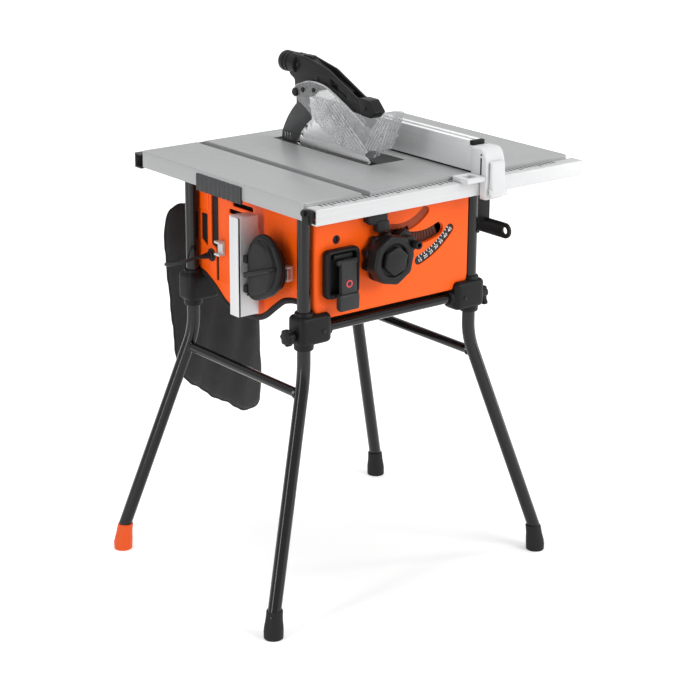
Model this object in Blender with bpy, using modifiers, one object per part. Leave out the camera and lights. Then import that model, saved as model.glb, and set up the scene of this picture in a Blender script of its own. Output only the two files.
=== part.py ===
"""Table saw on a leg stand: named sub-parts in metres, +Z up, standing on the floor.

X runs right along the front of the table, Y runs to the back, Z runs up from the floor.
Sizes are measured from the front left corner of the table top in plan. The last step
moves every piece so that the middle of the whole object's footprint is the origin.
"""

from math import atan2, ceil, cos, floor, hypot, pi, radians, sin

import bmesh
import bpy
from mathutils import Matrix, Vector

# Clearances and shading
FIT = 0.0004
RUN = 0.0015
SMOOTH_ANGLE = radians(40.0)

# Table top
TABLE_WIDTH = 0.640
TABLE_DEPTH = 0.518
TABLE_HEIGHT = 0.787
PLATE = 0.008
SKIRT_DROP = 0.032
SKIRT_WALL = 0.004
SLOT_X = 0.140
SLOT_WIDTH = 0.0195
SLOT_DEPTH = 0.010
INSERT_LEFT = 0.275
INSERT_WIDTH = 0.087
INSERT_FRONT = 0.156
INSERT_LENGTH = 0.307
INSERT_THICK = 0.0032
INSERT_CORNER = 0.006
LEDGE = 0.006
BLADE_SLOT_LEFT = 0.006
BLADE_SLOT_RIGHT = 0.010
BLADE_SLOT_END = 0.006

# Rails
RAIL_LEFT = 0.006
RAIL_LENGTH = 0.645
RAIL_REACH = 0.030
RAIL_TOP_DROP = 0.007
RAIL_FACE = 0.029
RAIL_WALL = 0.003
REAR_RAIL_REACH = 0.022
CAP_LENGTH = 0.016
CAP_INSET = 0.002

# Blade, splitter and saw unit
BLADE_X = 0.288
BLADE_Y = 0.283
BLADE_RADIUS = 0.127
BLADE_THICK = 0.0024
BLADE_RISE = 0.070
TEETH = 40
TOOTH_DEPTH = 0.006
FLANGE_RADIUS = 0.030
FLANGE_THICK = 0.006
ARBOR_RADIUS = 0.010
ARBOR_NOSE = 0.020
BLADE_BORE = 0.015
MOTOR_RADIUS = 0.045
MOTOR_LENGTH = 0.125
MOTOR_DROP = 0.050
LIFT_PLATE_THICK = 0.015
LIFT_PLATE_OFFSET = 0.030
LIFT_PLATE_OVER = 0.012
LIFT_PLATE_UNDER = 0.075
CRADLE_WIDTH = 0.096
CRADLE_OFFSET = 0.014
CRADLE_LEG = 0.018
CRADLE_BEAM = 0.020
CRADLE_TOP_DROP = 0.022
CRADLE_DROP = 0.200
CRADLE_GAP = 0.016
SPLITTER_THICK = 0.002
SPLITTER_GAP = 0.0035
SPLITTER_BAND = 0.048
SPLITTER_TOP = 58.0
SPLITTER_LOW = 0.100
SPLITTER_INSET = 0.009
SPLITTER_SHOULDER = 0.008
SPLITTER_OUTER_START = 24.0
SPLITTER_OUTER_END = 50.0
CLAMP_TALL = 0.050

# Guard
PIVOT_Y = 0.378
PIVOT_RISE = 0.106
ARM_WIDTH = 0.025
SHELL_WIDTH = 0.039
SHELL_WALL = 0.003
PORT_RADIUS = 0.0205
PORT_RISE = 0.0515
PORT_START = 0.027
PORT_END = 0.071
BOSS_RADIUS = 0.008
ARM_SEAT = 0.010
ARM_SHAPE = ((0.047, 0.032), (0.042, 0.073), (-0.006, 0.071), (-0.086, 0.053), (-0.180, 0.016),
             (-0.216, 0.016), (-0.237, -0.004), (-0.223, -0.017), (-0.159, -0.012), (-0.088, 0.019),
             (-0.033, 0.002), (-0.020, -ARM_SEAT), (0.020, -ARM_SEAT), (0.022, 0.022))
SHELL_UPPER = ((0.014, 0.0), (0.0, 0.014), (-0.042, 0.028), (-0.076, 0.026), (-0.131, -0.003),
               (-0.213, -0.047), (-0.228, -0.050), (-0.272, 0.007), (-0.286, 0.004), (-0.252, -0.071))
SHELL_LOWER = ((-0.193, -0.103), (-0.128, -0.102), (-0.077, -0.081), (0.0, -0.015))
SHELL_BRIDGE = ((-0.2495, -0.0695), (-0.2818, 0.0032), (-0.2848, 0.0018), (-0.2525, -0.0708))

# Stand
POST_LEFT = 0.027
POST_FRONT = 0.034
POST_SPAN_X = 0.397
POST_SPAN_Y = 0.352
TUBE_RADIUS = 0.0125
STUB_RISE = 0.080
BLOCK_DROP = 0.272
BLOCK_TALL = 0.040
BLOCK_LONG = 0.050
BLOCK_WALL = 0.010
BAR_RADIUS = 0.009
BEND_BELOW = 0.060
BEND_REACH = 0.030
BEND_STEPS = 4
CROSSBAR_BELOW = 0.033
SPLAY_X = 0.139
SPLAY_Y = 0.084
FOOT_RADIUS = 0.0185
FOOT_TALL = 0.034
KNOB_RADIUS = 0.016
KNOB_LONG = 0.020

# Housing
PANEL_FACE = 0.025
PANEL_WALL = 0.006
PANEL_DEEP = 0.021
PANEL_RIM = 0.004
PANEL_DROP = 0.231
PANEL_CORNER = 0.030
SIDE_WALL = 0.004
SIDE_CLEAR = 0.001
SIDE_END = 0.375
SIDE_WAVE = ((0.073, 0.203), (0.110, 0.211), (0.138, 0.229), (0.177, 0.257),
             (0.215, 0.265), (0.285, 0.263), (0.330, 0.235), (SIDE_END, 0.215))
SIDE_FRONT_DROP = 0.209
SHELL_STEP = 0.1705
SHELL_BACK = 0.4465
SHELL_DROP = 0.227
COVER_REACH = 0.061
COVER_DROP = 0.117
COVER_FRONT = 0.048
DIAL_X = 0.240
BEVEL_ARC = 0.113
ARC_LEAD = 26.0
ARC_SPARE = 7.0
ARC_TAIL = 26.0
GROOVE_ARC = 0.0885
GROOVE_HALF = 0.007
GROOVE_DEPTH = 0.003
GROOVE_LEAD = 13.0
GROOVE_TAIL = 45.0
SCALE_ARC = 0.1635
SCALE_HALF = 0.0085
SCALE_LEAD = -17.0
SCALE_TAIL = 50.0
GRIP_SLOT_Y = 0.350
GRIP_SLOT_WIDE = 0.017
GRIP_SLOT_DROP = 0.099
GRIP_SLOT_TALL = 0.056
VENT_Y = 0.316
VENT_WIDE = 0.014
VENT_DROP = 0.059
VENT_TALL = 0.128

# Controls
SWITCH_X = 0.059
SWITCH_WIDTH = 0.076
SWITCH_DROP = 0.099
SWITCH_TALL = 0.091
SWITCH_DEEP = 0.018
SWITCH_CORNER = 0.010
FLAP_X = 0.081
FLAP_WIDTH = 0.040
FLAP_TALL = 0.092
FLAP_DEEP = 0.0155
FLAP_TOP_DROP = 0.020
FLAP_CORNER = 0.004
LEVER_X = 0.178
LEVER_DROP = 0.072
LEVER_RADIUS = 0.013
LEVER_LONG = 0.034
LEVER_DEEP = 0.019
WHEEL_X = 0.192
WHEEL_DROP = 0.131
PLATE_RADIUS = 0.046
PLATE_DEEP = 0.018
PLATE_EAR_RADIUS = 0.0144
NECK_RADIUS = 0.0116
WHEEL_RADIUS = 0.0445
WHEEL_DEEP = 0.026
CAP_RADIUS = 0.026
CAP_RISE = 0.006
EAR_REACH = 0.054
EAR_RADIUS = 0.0105
EAR_ANGLE = 25.0
CRANK_KNOB_RADIUS = 0.008
CRANK_KNOB_LONG = 0.020

# Fence
FENCE_X = 0.390
FENCE_WIDTH = 0.028
FENCE_TALL = 0.060
FENCE_BACK = 0.535
FENCE_RIDGE = 0.009
FENCE_GROOVE = 0.004
HEAD_LEFT = 0.006
HEAD_WIDTH = 0.047
HEAD_RISE = 0.052
HEAD_REACH = 0.018
HEAD_LIP = 0.036
HEAD_BEVEL_DEEP = 0.010
HEAD_BEVEL_TALL = 0.020
CURSOR_WIDTH = 0.044
CURSOR_THICK = 0.009
CURSOR_WINDOW = 0.022
CLAMP_LEVER_WIDTH = 0.034
CLAMP_LEVER_DEEP = 0.014
CLAMP_LEVER_TALL = 0.066
CLAMP_LEVER_DROP = 0.022
CLAMP_LEVER_BEVEL = 0.006

# Mitre gauge
GAUGE_Y = 0.170
GAUGE_DROP = 0.153
GAUGE_BAR_LONG = 0.125
GAUGE_BAR_FRONT = 0.082
GAUGE_BAR_WIDE = 0.019
GAUGE_BAR_THICK = 0.008
GAUGE_STANDOFF = 0.0065
GAUGE_HEAD_RADIUS = 0.068
GAUGE_HEAD_REACH = 0.095
GAUGE_PIVOT = 0.020
GAUGE_HEAD_THICK = 0.036
GAUGE_FACE_TALL = 0.187
GAUGE_FACE_WIDE = 0.045
GAUGE_FACE_THICK = 0.023
CLIP_LONG = 0.016
CLIP_REAR = 0.2965
CLIP_ARM = 0.004

# Push stick
STICK_INSET = 0.011
STICK_THICK = 0.006
STICK_FRONT = -0.028
STICK_LONG = 0.300
STICK_DROP = 0.119
STICK_TALL = 0.030
STICK_HOLE = 0.006
STICK_NOTCH = 0.015
STICK_TAIL = 0.020
HOOK_FRONT = 0.078
HOOK_LONG = 0.080
HOOK_WALL = 0.004

# Dust port and bag
DUST_X = 0.215
DUST_DROP = 0.187
DUST_RADIUS = 0.025
BAG_LEFT = 0.041
BAG_WIDTH = 0.228
BAG_DROP = 0.115
BAG_TALL = 0.462
BAG_DEEP = 0.052
BAG_FRONT = 0.482
BAG_RIM = 0.014
BAG_RIM_ANGLE = radians(75.0)
BAG_SHARES = ((0.03, 0.97), (0.0, 0.86), (0.11, 0.28), (0.18, 0.21), (0.43, 0.12), (0.83, 0.0), (0.96, 0.02),
             (1.0, 0.12), (0.97, 0.93), (0.88, 1.0), (0.12, 1.0))

# Cord
CORD_RADIUS = 0.0035
LEAD_ROUTE = ((-0.022, 0.3400, 0.176), (-0.043, 0.3430, 0.180), (-0.0565, 0.3555, 0.186),
              (-0.0613, 0.3715, 0.191), (-0.0565, 0.3875, 0.195), (-0.043, 0.4000, 0.198),
              (-0.020, 0.4035, 0.199), (0.010, 0.4032, 0.199), (0.040, 0.4030, 0.196),
              (0.070, 0.4028, 0.190), (0.095, 0.4030, 0.183), (0.1095, 0.4042, 0.179),
              (0.1212, 0.4105, 0.177), (0.1282, 0.4200, 0.177))
GLAND_Y = 0.340
GLAND_DROP = 0.175
GLAND_LONG = 0.042
GLAND_RADIUS = 0.006
COIL_X = 0.129
COIL_Y = 0.436
COIL_DROP = 0.135
COIL_RADIUS = 0.042
COIL_PITCH = 0.0078
COIL_LAYERS = 4
COIL_LAYER_TURNS = 1.6875
COIL_STEPS = 24
COIL_TAIL = 0.044
PEG_RADIUS = 0.010
PLUG_RADIUS = 0.015
PLUG_LONG = 0.038
PIN_LONG = 0.017
PIN_RADIUS = 0.0024

TOP = TABLE_HEIGHT
UNDER = TABLE_HEIGHT - PLATE
BLADE_Z = TABLE_HEIGHT + BLADE_RISE - BLADE_RADIUS
POST_RIGHT = POST_LEFT + POST_SPAN_X
POST_BACK = POST_FRONT + POST_SPAN_Y
PIVOT_Z = TABLE_HEIGHT + PIVOT_RISE
WHEEL_Z = TABLE_HEIGHT - WHEEL_DROP
PANEL_BACK = PANEL_FACE + PANEL_DEEP
PANEL_LOW = TABLE_HEIGHT - PANEL_DROP
BLOCK_LOW = TABLE_HEIGHT - BLOCK_DROP
SPLIT_HEIGHT = BLOCK_LOW + BLOCK_TALL / 2
BEND_HEIGHT = BLOCK_LOW - BEND_BELOW
CROSSBAR_HEIGHT = BEND_HEIGHT - CROSSBAR_BELOW
COVER_RIGHT = POST_RIGHT + COVER_REACH
COVER_LOW = TABLE_HEIGHT - COVER_DROP
SWITCH_LOW = TABLE_HEIGHT - SWITCH_DROP - SWITCH_TALL
GAUGE_Z = TABLE_HEIGHT - GAUGE_DROP
STICK_X = COVER_RIGHT - STICK_INSET
STICK_LOW = TABLE_HEIGHT - STICK_DROP - STICK_TALL
BAG_LOW = TABLE_HEIGHT - BAG_DROP - BAG_TALL
GLAND_Z = TABLE_HEIGHT - GLAND_DROP
COIL_Z = TABLE_HEIGHT - COIL_DROP
SIDE_OUT = POST_LEFT + TUBE_RADIUS + SIDE_CLEAR
SIDE_IN = SIDE_OUT + SIDE_WALL

for item in list(bpy.data.objects):
    bpy.data.objects.remove(item, do_unlink=True)
for item in list(bpy.data.collections):
    bpy.data.collections.remove(item)

pieces = bpy.data.collections.new("table_saw")
helpers = bpy.data.collections.new("table_saw_cutters")
for group in (pieces, helpers):
    bpy.context.scene.collection.children.link(group)


def material(name, colour, metallic, roughness, alpha=1.0):
    """One plain Principled material."""
    made = bpy.data.materials.new(name)
    made.use_nodes = True
    shader = made.node_tree.nodes["Principled BSDF"]
    shader.inputs["Base Color"].default_value = (*colour, 1.0)
    shader.inputs["Metallic"].default_value = metallic
    shader.inputs["Roughness"].default_value = roughness
    shader.inputs["Alpha"].default_value = alpha
    return made


LOOKS = {
    "grey": ((0.42, 0.43, 0.44), 0.6, 0.45),
    "silver": ((0.80, 0.81, 0.82), 0.8, 0.35),
    "steel": ((0.62, 0.63, 0.65), 1.0, 0.30),
    "orange": ((0.90, 0.16, 0.02), 0.0, 0.45),
    "black": ((0.02, 0.02, 0.022), 0.0, 0.50),
    "dark": ((0.06, 0.06, 0.065), 0.2, 0.50),
    "tube": ((0.03, 0.03, 0.033), 0.3, 0.35),
    "white": ((0.85, 0.85, 0.84), 0.0, 0.45),
    "cloth": ((0.025, 0.023, 0.024), 0.0, 0.95),
    "rubber": ((0.015, 0.015, 0.016), 0.0, 0.70),
    "clear": ((0.85, 0.88, 0.90), 0.0, 0.10, 0.35),
}


def place(name, mesh, look):
    """Link one sub-part with a material of its own."""
    piece = bpy.data.objects.new(name, mesh)
    mesh.materials.append(material(name + "_" + look, *LOOKS[look]))
    pieces.objects.link(piece)
    return piece


def closed_mesh(name, bm):
    """Finish a bmesh as an outward-facing mesh, smooth on its round faces."""
    bmesh.ops.recalc_face_normals(bm, faces=bm.faces)
    mesh = bpy.data.meshes.new(name)
    bm.to_mesh(mesh)
    bm.free()
    mesh.shade_smooth()
    mesh.set_sharp_from_angle(angle=SMOOTH_ANGLE)
    return mesh


def prism_mesh(name, axis, outline, start, end, holes=()):
    """Extrude an outline, with holes, along one axis.

    The outline is in (y, z) along x, in (x, z) along y and in (x, y) along z.
    """
    def at(pair, along):
        spot = list(pair)
        spot.insert("xyz".index(axis), along)
        return spot

    bm = bmesh.new()
    edges = []
    for loop in (outline, *holes):
        ring = [bm.verts.new(at(pair, start)) for pair in loop]
        edges += [bm.edges.new((ring[i - 1], ring[i])) for i in range(len(ring))]
    filled = bmesh.ops.triangle_fill(bm, use_beauty=True, use_dissolve=False, edges=edges)
    faces = [part for part in filled["geom"] if isinstance(part, bmesh.types.BMFace)]
    grown = bmesh.ops.extrude_face_region(bm, geom=faces, use_keep_orig=True)
    moved = [part for part in grown["geom"] if isinstance(part, bmesh.types.BMVert)]
    bmesh.ops.translate(bm, verts=moved, vec=Vector(at((0.0, 0.0), end - start)))
    return closed_mesh(name, bm)


def turned_mesh(name, axis, centre, profile, sides):
    """Spin a line of (radius, place) pairs about an axis and close its ends."""
    pole = list(centre)
    pole.insert("xyz".index(axis), 0.0)
    along = Vector([float(letter == axis) for letter in "xyz"])
    out = Vector((0, 1, 0)) if axis == "x" else Vector((1, 0, 0))
    bm = bmesh.new()
    line = [bm.verts.new(Vector(pole) + along * place_on + out * radius) for radius, place_on in profile]
    edges = [bm.edges.new(pair) for pair in zip(line, line[1:])]
    bmesh.ops.spin(bm, geom=line + edges, cent=pole, axis=along, angle=2 * pi, steps=sides, use_merge=True)
    bmesh.ops.holes_fill(bm, edges=bm.edges)
    return closed_mesh(name, bm)


def prism(name, look, axis, outline, start, end, holes=()):
    return place(name, prism_mesh(name, axis, outline, start, end, holes), look)


def turned(name, look, axis, centre, profile, sides):
    return place(name, turned_mesh(name, axis, centre, profile, sides), look)


def pipe(name, look, route, radius, resolution=4):
    """A round tube or lead along a list of points, with filled ends."""
    curve = bpy.data.curves.new(name, "CURVE")
    curve.dimensions = "3D"
    curve.bevel_depth = radius
    curve.bevel_resolution = resolution
    curve.use_fill_caps = True
    line = curve.splines.new("POLY")
    line.points.add(len(route) - 1)
    for point, spot in zip(line.points, route):
        point.co = (*spot, 1.0)
    return place(name, curve, look)


def combine(piece, mesh, operation, solver="EXACT"):
    """Add a shape to a piece, or cut one out of it, with a hidden helper."""
    helper = bpy.data.objects.new(mesh.name, mesh)
    helpers.objects.link(helper)
    helper.hide_render = True
    helper.display_type = "WIRE"
    step = piece.modifiers.new(operation.lower(), "BOOLEAN")
    step.operation = operation
    step.object = helper
    step.solver = solver


def box(left, right, low, high):
    return [(left, low), (right, low), (right, high), (left, high)]


def rounded(left, right, low, high, radius, steps=4):
    """A rectangle with round corners."""
    corners = ((right - radius, low + radius, -90), (right - radius, high - radius, 0),
               (left + radius, high - radius, 90), (left + radius, low + radius, 180))
    return [(x + radius * cos(radians(start + 90 * step / steps)),
             y + radius * sin(radians(start + 90 * step / steps)))
            for x, y, start in corners for step in range(steps + 1)]


def circle(x, y, radius, sides=16):
    turns = [2 * pi * i / sides for i in range(sides)]
    return [(x + radius * cos(a), y + radius * sin(a)) for a in turns]


def arc(x, y, radius, start, end, steps):
    """Points along an arc, in degrees from straight right."""
    turns = [radians(start + (end - start) * i / steps) for i in range(steps + 1)]
    return [(x + radius * cos(a), y + radius * sin(a)) for a in turns]


def capsule(first, second, radius, steps=6):
    """An outline around two points, with round ends."""
    lean = atan2(second[1] - first[1], second[0] - first[0]) * 180 / pi
    return (arc(*second, radius, lean - 90, lean + 90, steps)
            + arc(*first, radius, lean + 90, lean + 270, steps))


def curved_slot(middle, radius, half, lead, tail, steps=16):
    """A slot about a middle at the table's height, from lead degrees before straight down to tail after."""
    start, end = -90 - lead, -90 + tail
    outer = arc(middle, TOP, radius + half, start, end, steps)
    inner = arc(middle, TOP, radius - half, end, start, steps)
    return outer + inner


# Table top: section with both skirts and the mitre slot, cut for the throat
slot_left = SLOT_X - SLOT_WIDTH / 2
slot_right = SLOT_X + SLOT_WIDTH / 2
table_section = [
    (0, TOP), (slot_left, TOP), (slot_left, TOP - SLOT_DEPTH), (slot_right, TOP - SLOT_DEPTH),
    (slot_right, TOP), (TABLE_WIDTH, TOP), (TABLE_WIDTH, TOP - SKIRT_DROP),
    (TABLE_WIDTH - SKIRT_WALL, TOP - SKIRT_DROP), (TABLE_WIDTH - SKIRT_WALL, UNDER),
    (slot_right + SKIRT_WALL, UNDER), (slot_right + SKIRT_WALL, TOP - SLOT_DEPTH - SKIRT_WALL),
    (slot_left - SKIRT_WALL, TOP - SLOT_DEPTH - SKIRT_WALL), (slot_left - SKIRT_WALL, UNDER),
    (SKIRT_WALL, UNDER), (SKIRT_WALL, TOP - SKIRT_DROP), (0, TOP - SKIRT_DROP)]
table_top = prism("table_top", "grey", "y", table_section, 0, TABLE_DEPTH)
insert_right = INSERT_LEFT + INSERT_WIDTH
insert_back = INSERT_FRONT + INSERT_LENGTH
recess = rounded(INSERT_LEFT - FIT, insert_right + FIT, INSERT_FRONT - FIT, insert_back + FIT, INSERT_CORNER)
opening = box(INSERT_LEFT + LEDGE, insert_right - LEDGE, INSERT_FRONT + LEDGE, insert_back - LEDGE)
combine(table_top, prism_mesh("throat_recess", "z", recess, TOP - INSERT_THICK - FIT, TOP + PLATE),
        "DIFFERENCE")
combine(table_top, prism_mesh("throat_opening", "z", opening, UNDER - PLATE, TOP + PLATE), "DIFFERENCE")

# Throat insert: plate with the blade slot, wide enough for the tilted blade
insert_outline = rounded(INSERT_LEFT, insert_right, INSERT_FRONT, insert_back, INSERT_CORNER)
blade_slot = box(BLADE_X - BLADE_SLOT_LEFT, BLADE_X + BLADE_SLOT_RIGHT,
                 INSERT_FRONT + BLADE_SLOT_END, insert_back - BLADE_SLOT_END)
prism("throat_insert", "black", "z", insert_outline, TOP - INSERT_THICK, TOP, [blade_slot])


def channel(back, front, high, low, wall):
    """A rail section, open below."""
    inner = front + wall if front < back else front - wall
    outer = back - wall if front < back else back + wall
    return [(front, high), (back, high), (back, low), (outer, low), (outer, high - wall),
            (inner, high - wall), (inner, low), (front, low)]


# Rails along the front and back edges, and the front rail's left end cap
rail_top = TOP - RAIL_TOP_DROP
rail_low = rail_top - RAIL_FACE
rail_right = RAIL_LEFT + RAIL_LENGTH
prism("front_rail", "silver", "x", channel(-FIT, -RAIL_REACH, rail_top, rail_low, RAIL_WALL),
      RAIL_LEFT, rail_right)
prism("rear_rail", "dark", "x",
      channel(TABLE_DEPTH + FIT, TABLE_DEPTH + REAR_RAIL_REACH, rail_top, rail_low, RAIL_WALL),
      0, TABLE_WIDTH)
prism("rail_cap", "black", "x",
      rounded(-RAIL_REACH + CAP_INSET, -CAP_INSET, rail_low, rail_top, CAP_INSET),
      RAIL_LEFT - FIT - CAP_LENGTH, RAIL_LEFT - FIT)

# Front panel: a shallow tray with round lower corners, a curved slot for the bevel neck and two grooves
panel_left = SIDE_OUT
panel_right = POST_RIGHT - TUBE_RADIUS - SIDE_CLEAR
panel_high = TOP - SLOT_DEPTH - SKIRT_WALL - FIT
wall_high = UNDER - FIT


def panel_outline(inset, high):
    """The panel's outline, drawn in by an inset and open upwards to a height."""
    left, right, low = panel_left + inset, panel_right - inset, PANEL_LOW + inset
    corner = PANEL_CORNER - inset
    return (arc(left + corner, low + corner, corner, 180, 270, 6)
            + arc(right - corner, low + corner, corner, 270, 360, 6) + [(right, high), (left, high)])


neck_slot = curved_slot(BLADE_X, BEVEL_ARC, NECK_RADIUS + FIT, ARC_LEAD + ARC_SPARE, ARC_TAIL)
front_panel = prism("front_panel", "orange", "y", panel_outline(0, panel_high), PANEL_FACE, PANEL_BACK,
                    [neck_slot])
combine(front_panel, prism_mesh("panel_hollow", "y", panel_outline(PANEL_RIM, panel_high + RUN),
                                PANEL_FACE + PANEL_WALL, PANEL_BACK + RUN), "DIFFERENCE", "MANIFOLD")
for name, groove in (("upper_groove", curved_slot(DIAL_X, GROOVE_ARC, GROOVE_HALF, GROOVE_LEAD, GROOVE_TAIL)),
                     ("scale_groove", curved_slot(DIAL_X, SCALE_ARC, SCALE_HALF, SCALE_LEAD, SCALE_TAIL))):
    combine(front_panel, prism_mesh(name, "y", groove, PANEL_FACE - GROOVE_DEPTH, PANEL_FACE + GROOVE_DEPTH),
            "DIFFERENCE", "MANIFOLD")

# Left panel: wavy lower edge, a grip slot and a long opening
side_front = PANEL_BACK + FIT
side_outline = [(side_front, TOP - SIDE_FRONT_DROP), *[(y, TOP - drop) for y, drop in SIDE_WAVE],
                (SIDE_END, wall_high), (side_front, wall_high)]
grip_high = TOP - GRIP_SLOT_DROP
vent_high = TOP - VENT_DROP
prism("left_panel", "orange", "x", side_outline, SIDE_OUT, SIDE_IN,
      [box(GRIP_SLOT_Y, GRIP_SLOT_Y + GRIP_SLOT_WIDE, grip_high - GRIP_SLOT_TALL, grip_high),
       box(VENT_Y, VENT_Y + VENT_WIDE, vent_high - VENT_TALL, vent_high)])

# Rear shell, stepped in at the left, and the black cover on the right
shell_in = SHELL_BACK - SIDE_WALL
step_in = SHELL_STEP + SIDE_WALL
shell_outline = [(SIDE_IN + FIT, SIDE_END), (SHELL_STEP, SIDE_END), (SHELL_STEP, SHELL_BACK),
                 (panel_right, SHELL_BACK), (panel_right, shell_in), (step_in, shell_in),
                 (step_in, SIDE_END - SIDE_WALL), (SIDE_IN + FIT, SIDE_END - SIDE_WALL)]
rear_shell = prism("rear_shell", "orange", "z", shell_outline, TOP - SHELL_DROP, panel_high)
cover_left = POST_RIGHT + TUBE_RADIUS + FIT
cover_in = COVER_RIGHT - SIDE_WALL
cover_outline = [(cover_left, COVER_FRONT), (COVER_RIGHT, COVER_FRONT), (COVER_RIGHT, SHELL_BACK),
                 (panel_right + FIT, SHELL_BACK), (panel_right + FIT, shell_in), (cover_in, shell_in),
                 (cover_in, COVER_FRONT + SIDE_WALL), (cover_left, COVER_FRONT + SIDE_WALL)]
right_cover = prism("right_cover", "black", "z", cover_outline, COVER_LOW, wall_high)

# Stand: posts, corner blocks, bars between the blocks
CORNERS = {"front_left": (POST_LEFT, POST_FRONT, -1, -1), "front_right": (POST_RIGHT, POST_FRONT, 1, -1),
           "back_left": (POST_LEFT, POST_BACK, -1, 1), "back_right": (POST_RIGHT, POST_BACK, 1, 1)}
pivots = {}
BLOCK_HALF = TUBE_RADIUS + BLOCK_WALL
for corner, (x, y, out_x, out_y) in CORNERS.items():
    high = BLOCK_LOW + STUB_RISE if corner == "back_right" else UNDER - FIT
    pipe("post_" + corner, "tube", [(x, y, SPLIT_HEIGHT), (x, y, high)], TUBE_RADIUS)
    ends = sorted((x + out_x * BLOCK_HALF, x - out_x * BLOCK_LONG))
    prism("block_" + corner, "black", "z",
          rounded(ends[0], ends[1], y - BLOCK_HALF, y + BLOCK_HALF, BLOCK_WALL / 2),
          BLOCK_LOW, BLOCK_LOW + BLOCK_TALL, [circle(x, y, TUBE_RADIUS + FIT, 20)])
bar_ends = (POST_LEFT + BLOCK_LONG + FIT, POST_RIGHT - BLOCK_LONG - FIT)
bar_height = BLOCK_LOW + BLOCK_TALL / 2
for name, y in (("front_bar", POST_FRONT), ("rear_bar", POST_BACK)):
    pipe(name, "tube", [(end, y, bar_height) for end in bar_ends], BAR_RADIUS)
for name, x, out_x in (("clamp_knob_left", POST_LEFT, -1), ("clamp_knob_right", POST_RIGHT, 1)):
    face = x + out_x * (BLOCK_HALF + FIT)
    pivots[name] = (face, POST_FRONT, bar_height)
    turned(name, "black", "x", (POST_FRONT, bar_height),
           [(KNOB_RADIUS / 2, face), (KNOB_RADIUS, face + out_x * KNOB_LONG / 3),
            (KNOB_RADIUS, face + out_x * KNOB_LONG)], 16)

# Legs: straight into the block, then bent outwards, with a foot at each end
LEG_END = FOOT_TALL + TUBE_RADIUS * hypot(SPLAY_X, SPLAY_Y) / hypot(SPLAY_X, SPLAY_Y, BEND_HEIGHT) + FIT


def leg_spot(corner, height):
    """The middle of a leg's sloping stretch at a height."""
    x, y, out_x, out_y = CORNERS[corner]
    share = (BEND_HEIGHT - height) / BEND_HEIGHT
    return Vector((x + out_x * SPLAY_X * share, y + out_y * SPLAY_Y * share, height))


bend_shares = [step / BEND_STEPS for step in range(BEND_STEPS + 1)]
for corner, (x, y, out_x, out_y) in CORNERS.items():
    upper = Vector((x, y, BEND_HEIGHT + BEND_REACH))
    knee = Vector((x, y, BEND_HEIGHT))
    lower = leg_spot(corner, BEND_HEIGHT - BEND_REACH)
    bend = [upper.lerp(knee, t).lerp(knee.lerp(lower, t), t) for t in bend_shares]
    foot = leg_spot(corner, LEG_END)
    pipe("leg_" + corner, "tube", [(x, y, SPLIT_HEIGHT - FIT), *bend, foot], TUBE_RADIUS)
    pivots["leg_" + corner] = (x, y, SPLIT_HEIGHT)
    pivots["foot_" + corner] = (foot.x, foot.y, 0)
    look = "orange" if corner == "back_left" else "rubber"
    turned("foot_" + corner, look, "z", (foot.x, foot.y),
           [(FOOT_RADIUS, 0), (FOOT_RADIUS, FOOT_TALL * 0.6), (TUBE_RADIUS, FOOT_TALL)], 16)
bar_gap = TUBE_RADIUS + BAR_RADIUS * SPLAY_Y / BEND_HEIGHT
for side in ("left", "right"):
    front = leg_spot("front_" + side, CROSSBAR_HEIGHT)
    back = leg_spot("back_" + side, CROSSBAR_HEIGHT)
    pipe("crossbar_" + side, "tube", [front + Vector((0, bar_gap, 0)), back - Vector((0, bar_gap, 0))],
         BAR_RADIUS)
    pivots["crossbar_" + side] = front

# Switch: box on the panel and a flap hung from its top edge
switch_front = PANEL_FACE - FIT - SWITCH_DEEP
switch_high = SWITCH_LOW + SWITCH_TALL
prism("switch_box", "black", "y",
      rounded(SWITCH_X, SWITCH_X + SWITCH_WIDTH, SWITCH_LOW, switch_high, SWITCH_CORNER),
      switch_front, PANEL_FACE - FIT)
flap_high = switch_high - FLAP_TOP_DROP
flap_back = switch_front - FIT
prism("switch_flap", "dark", "y",
      rounded(FLAP_X, FLAP_X + FLAP_WIDTH, flap_high - FLAP_TALL, flap_high, FLAP_CORNER),
      flap_back - FLAP_DEEP, flap_back)
pivots["switch_flap"] = (FLAP_X + FLAP_WIDTH / 2, flap_back, flap_high)

# Bevel lock lever beside the wheel
lever_z = TOP - LEVER_DROP
lever_outline = capsule((LEVER_X, lever_z), (LEVER_X, lever_z + LEVER_LONG - LEVER_RADIUS), LEVER_RADIUS)
prism("bevel_lever", "black", "y", lever_outline, PANEL_FACE - FIT - LEVER_DEEP, PANEL_FACE - FIT)
pivots["bevel_lever"] = (LEVER_X, PANEL_FACE, lever_z)

# Cradle: two legs joined by a beam, hung on the tilt axis at the table's surface
cradle_right = BLADE_X - CRADLE_OFFSET
cradle_front = PANEL_BACK + CRADLE_GAP
cradle_back = shell_in - 3 * RUN
cradle_high = TOP - CRADLE_TOP_DROP
cradle_low = TOP - CRADLE_DROP
beam_low = cradle_high - CRADLE_BEAM
cradle_outline = [(cradle_front, cradle_low), (cradle_front, cradle_high), (cradle_back, cradle_high),
                  (cradle_back, cradle_low), (cradle_back - CRADLE_LEG, cradle_low),
                  (cradle_back - CRADLE_LEG, beam_low), (cradle_front + CRADLE_LEG, beam_low),
                  (cradle_front + CRADLE_LEG, cradle_low)]
cradle = prism("cradle", "steel", "x", cradle_outline, cradle_right - CRADLE_WIDTH, cradle_right)
for name in ("cradle", "bevel_plate", "splitter", "guard_arm"):
    pivots[name] = (BLADE_X, BLADE_Y, TOP)

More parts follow.
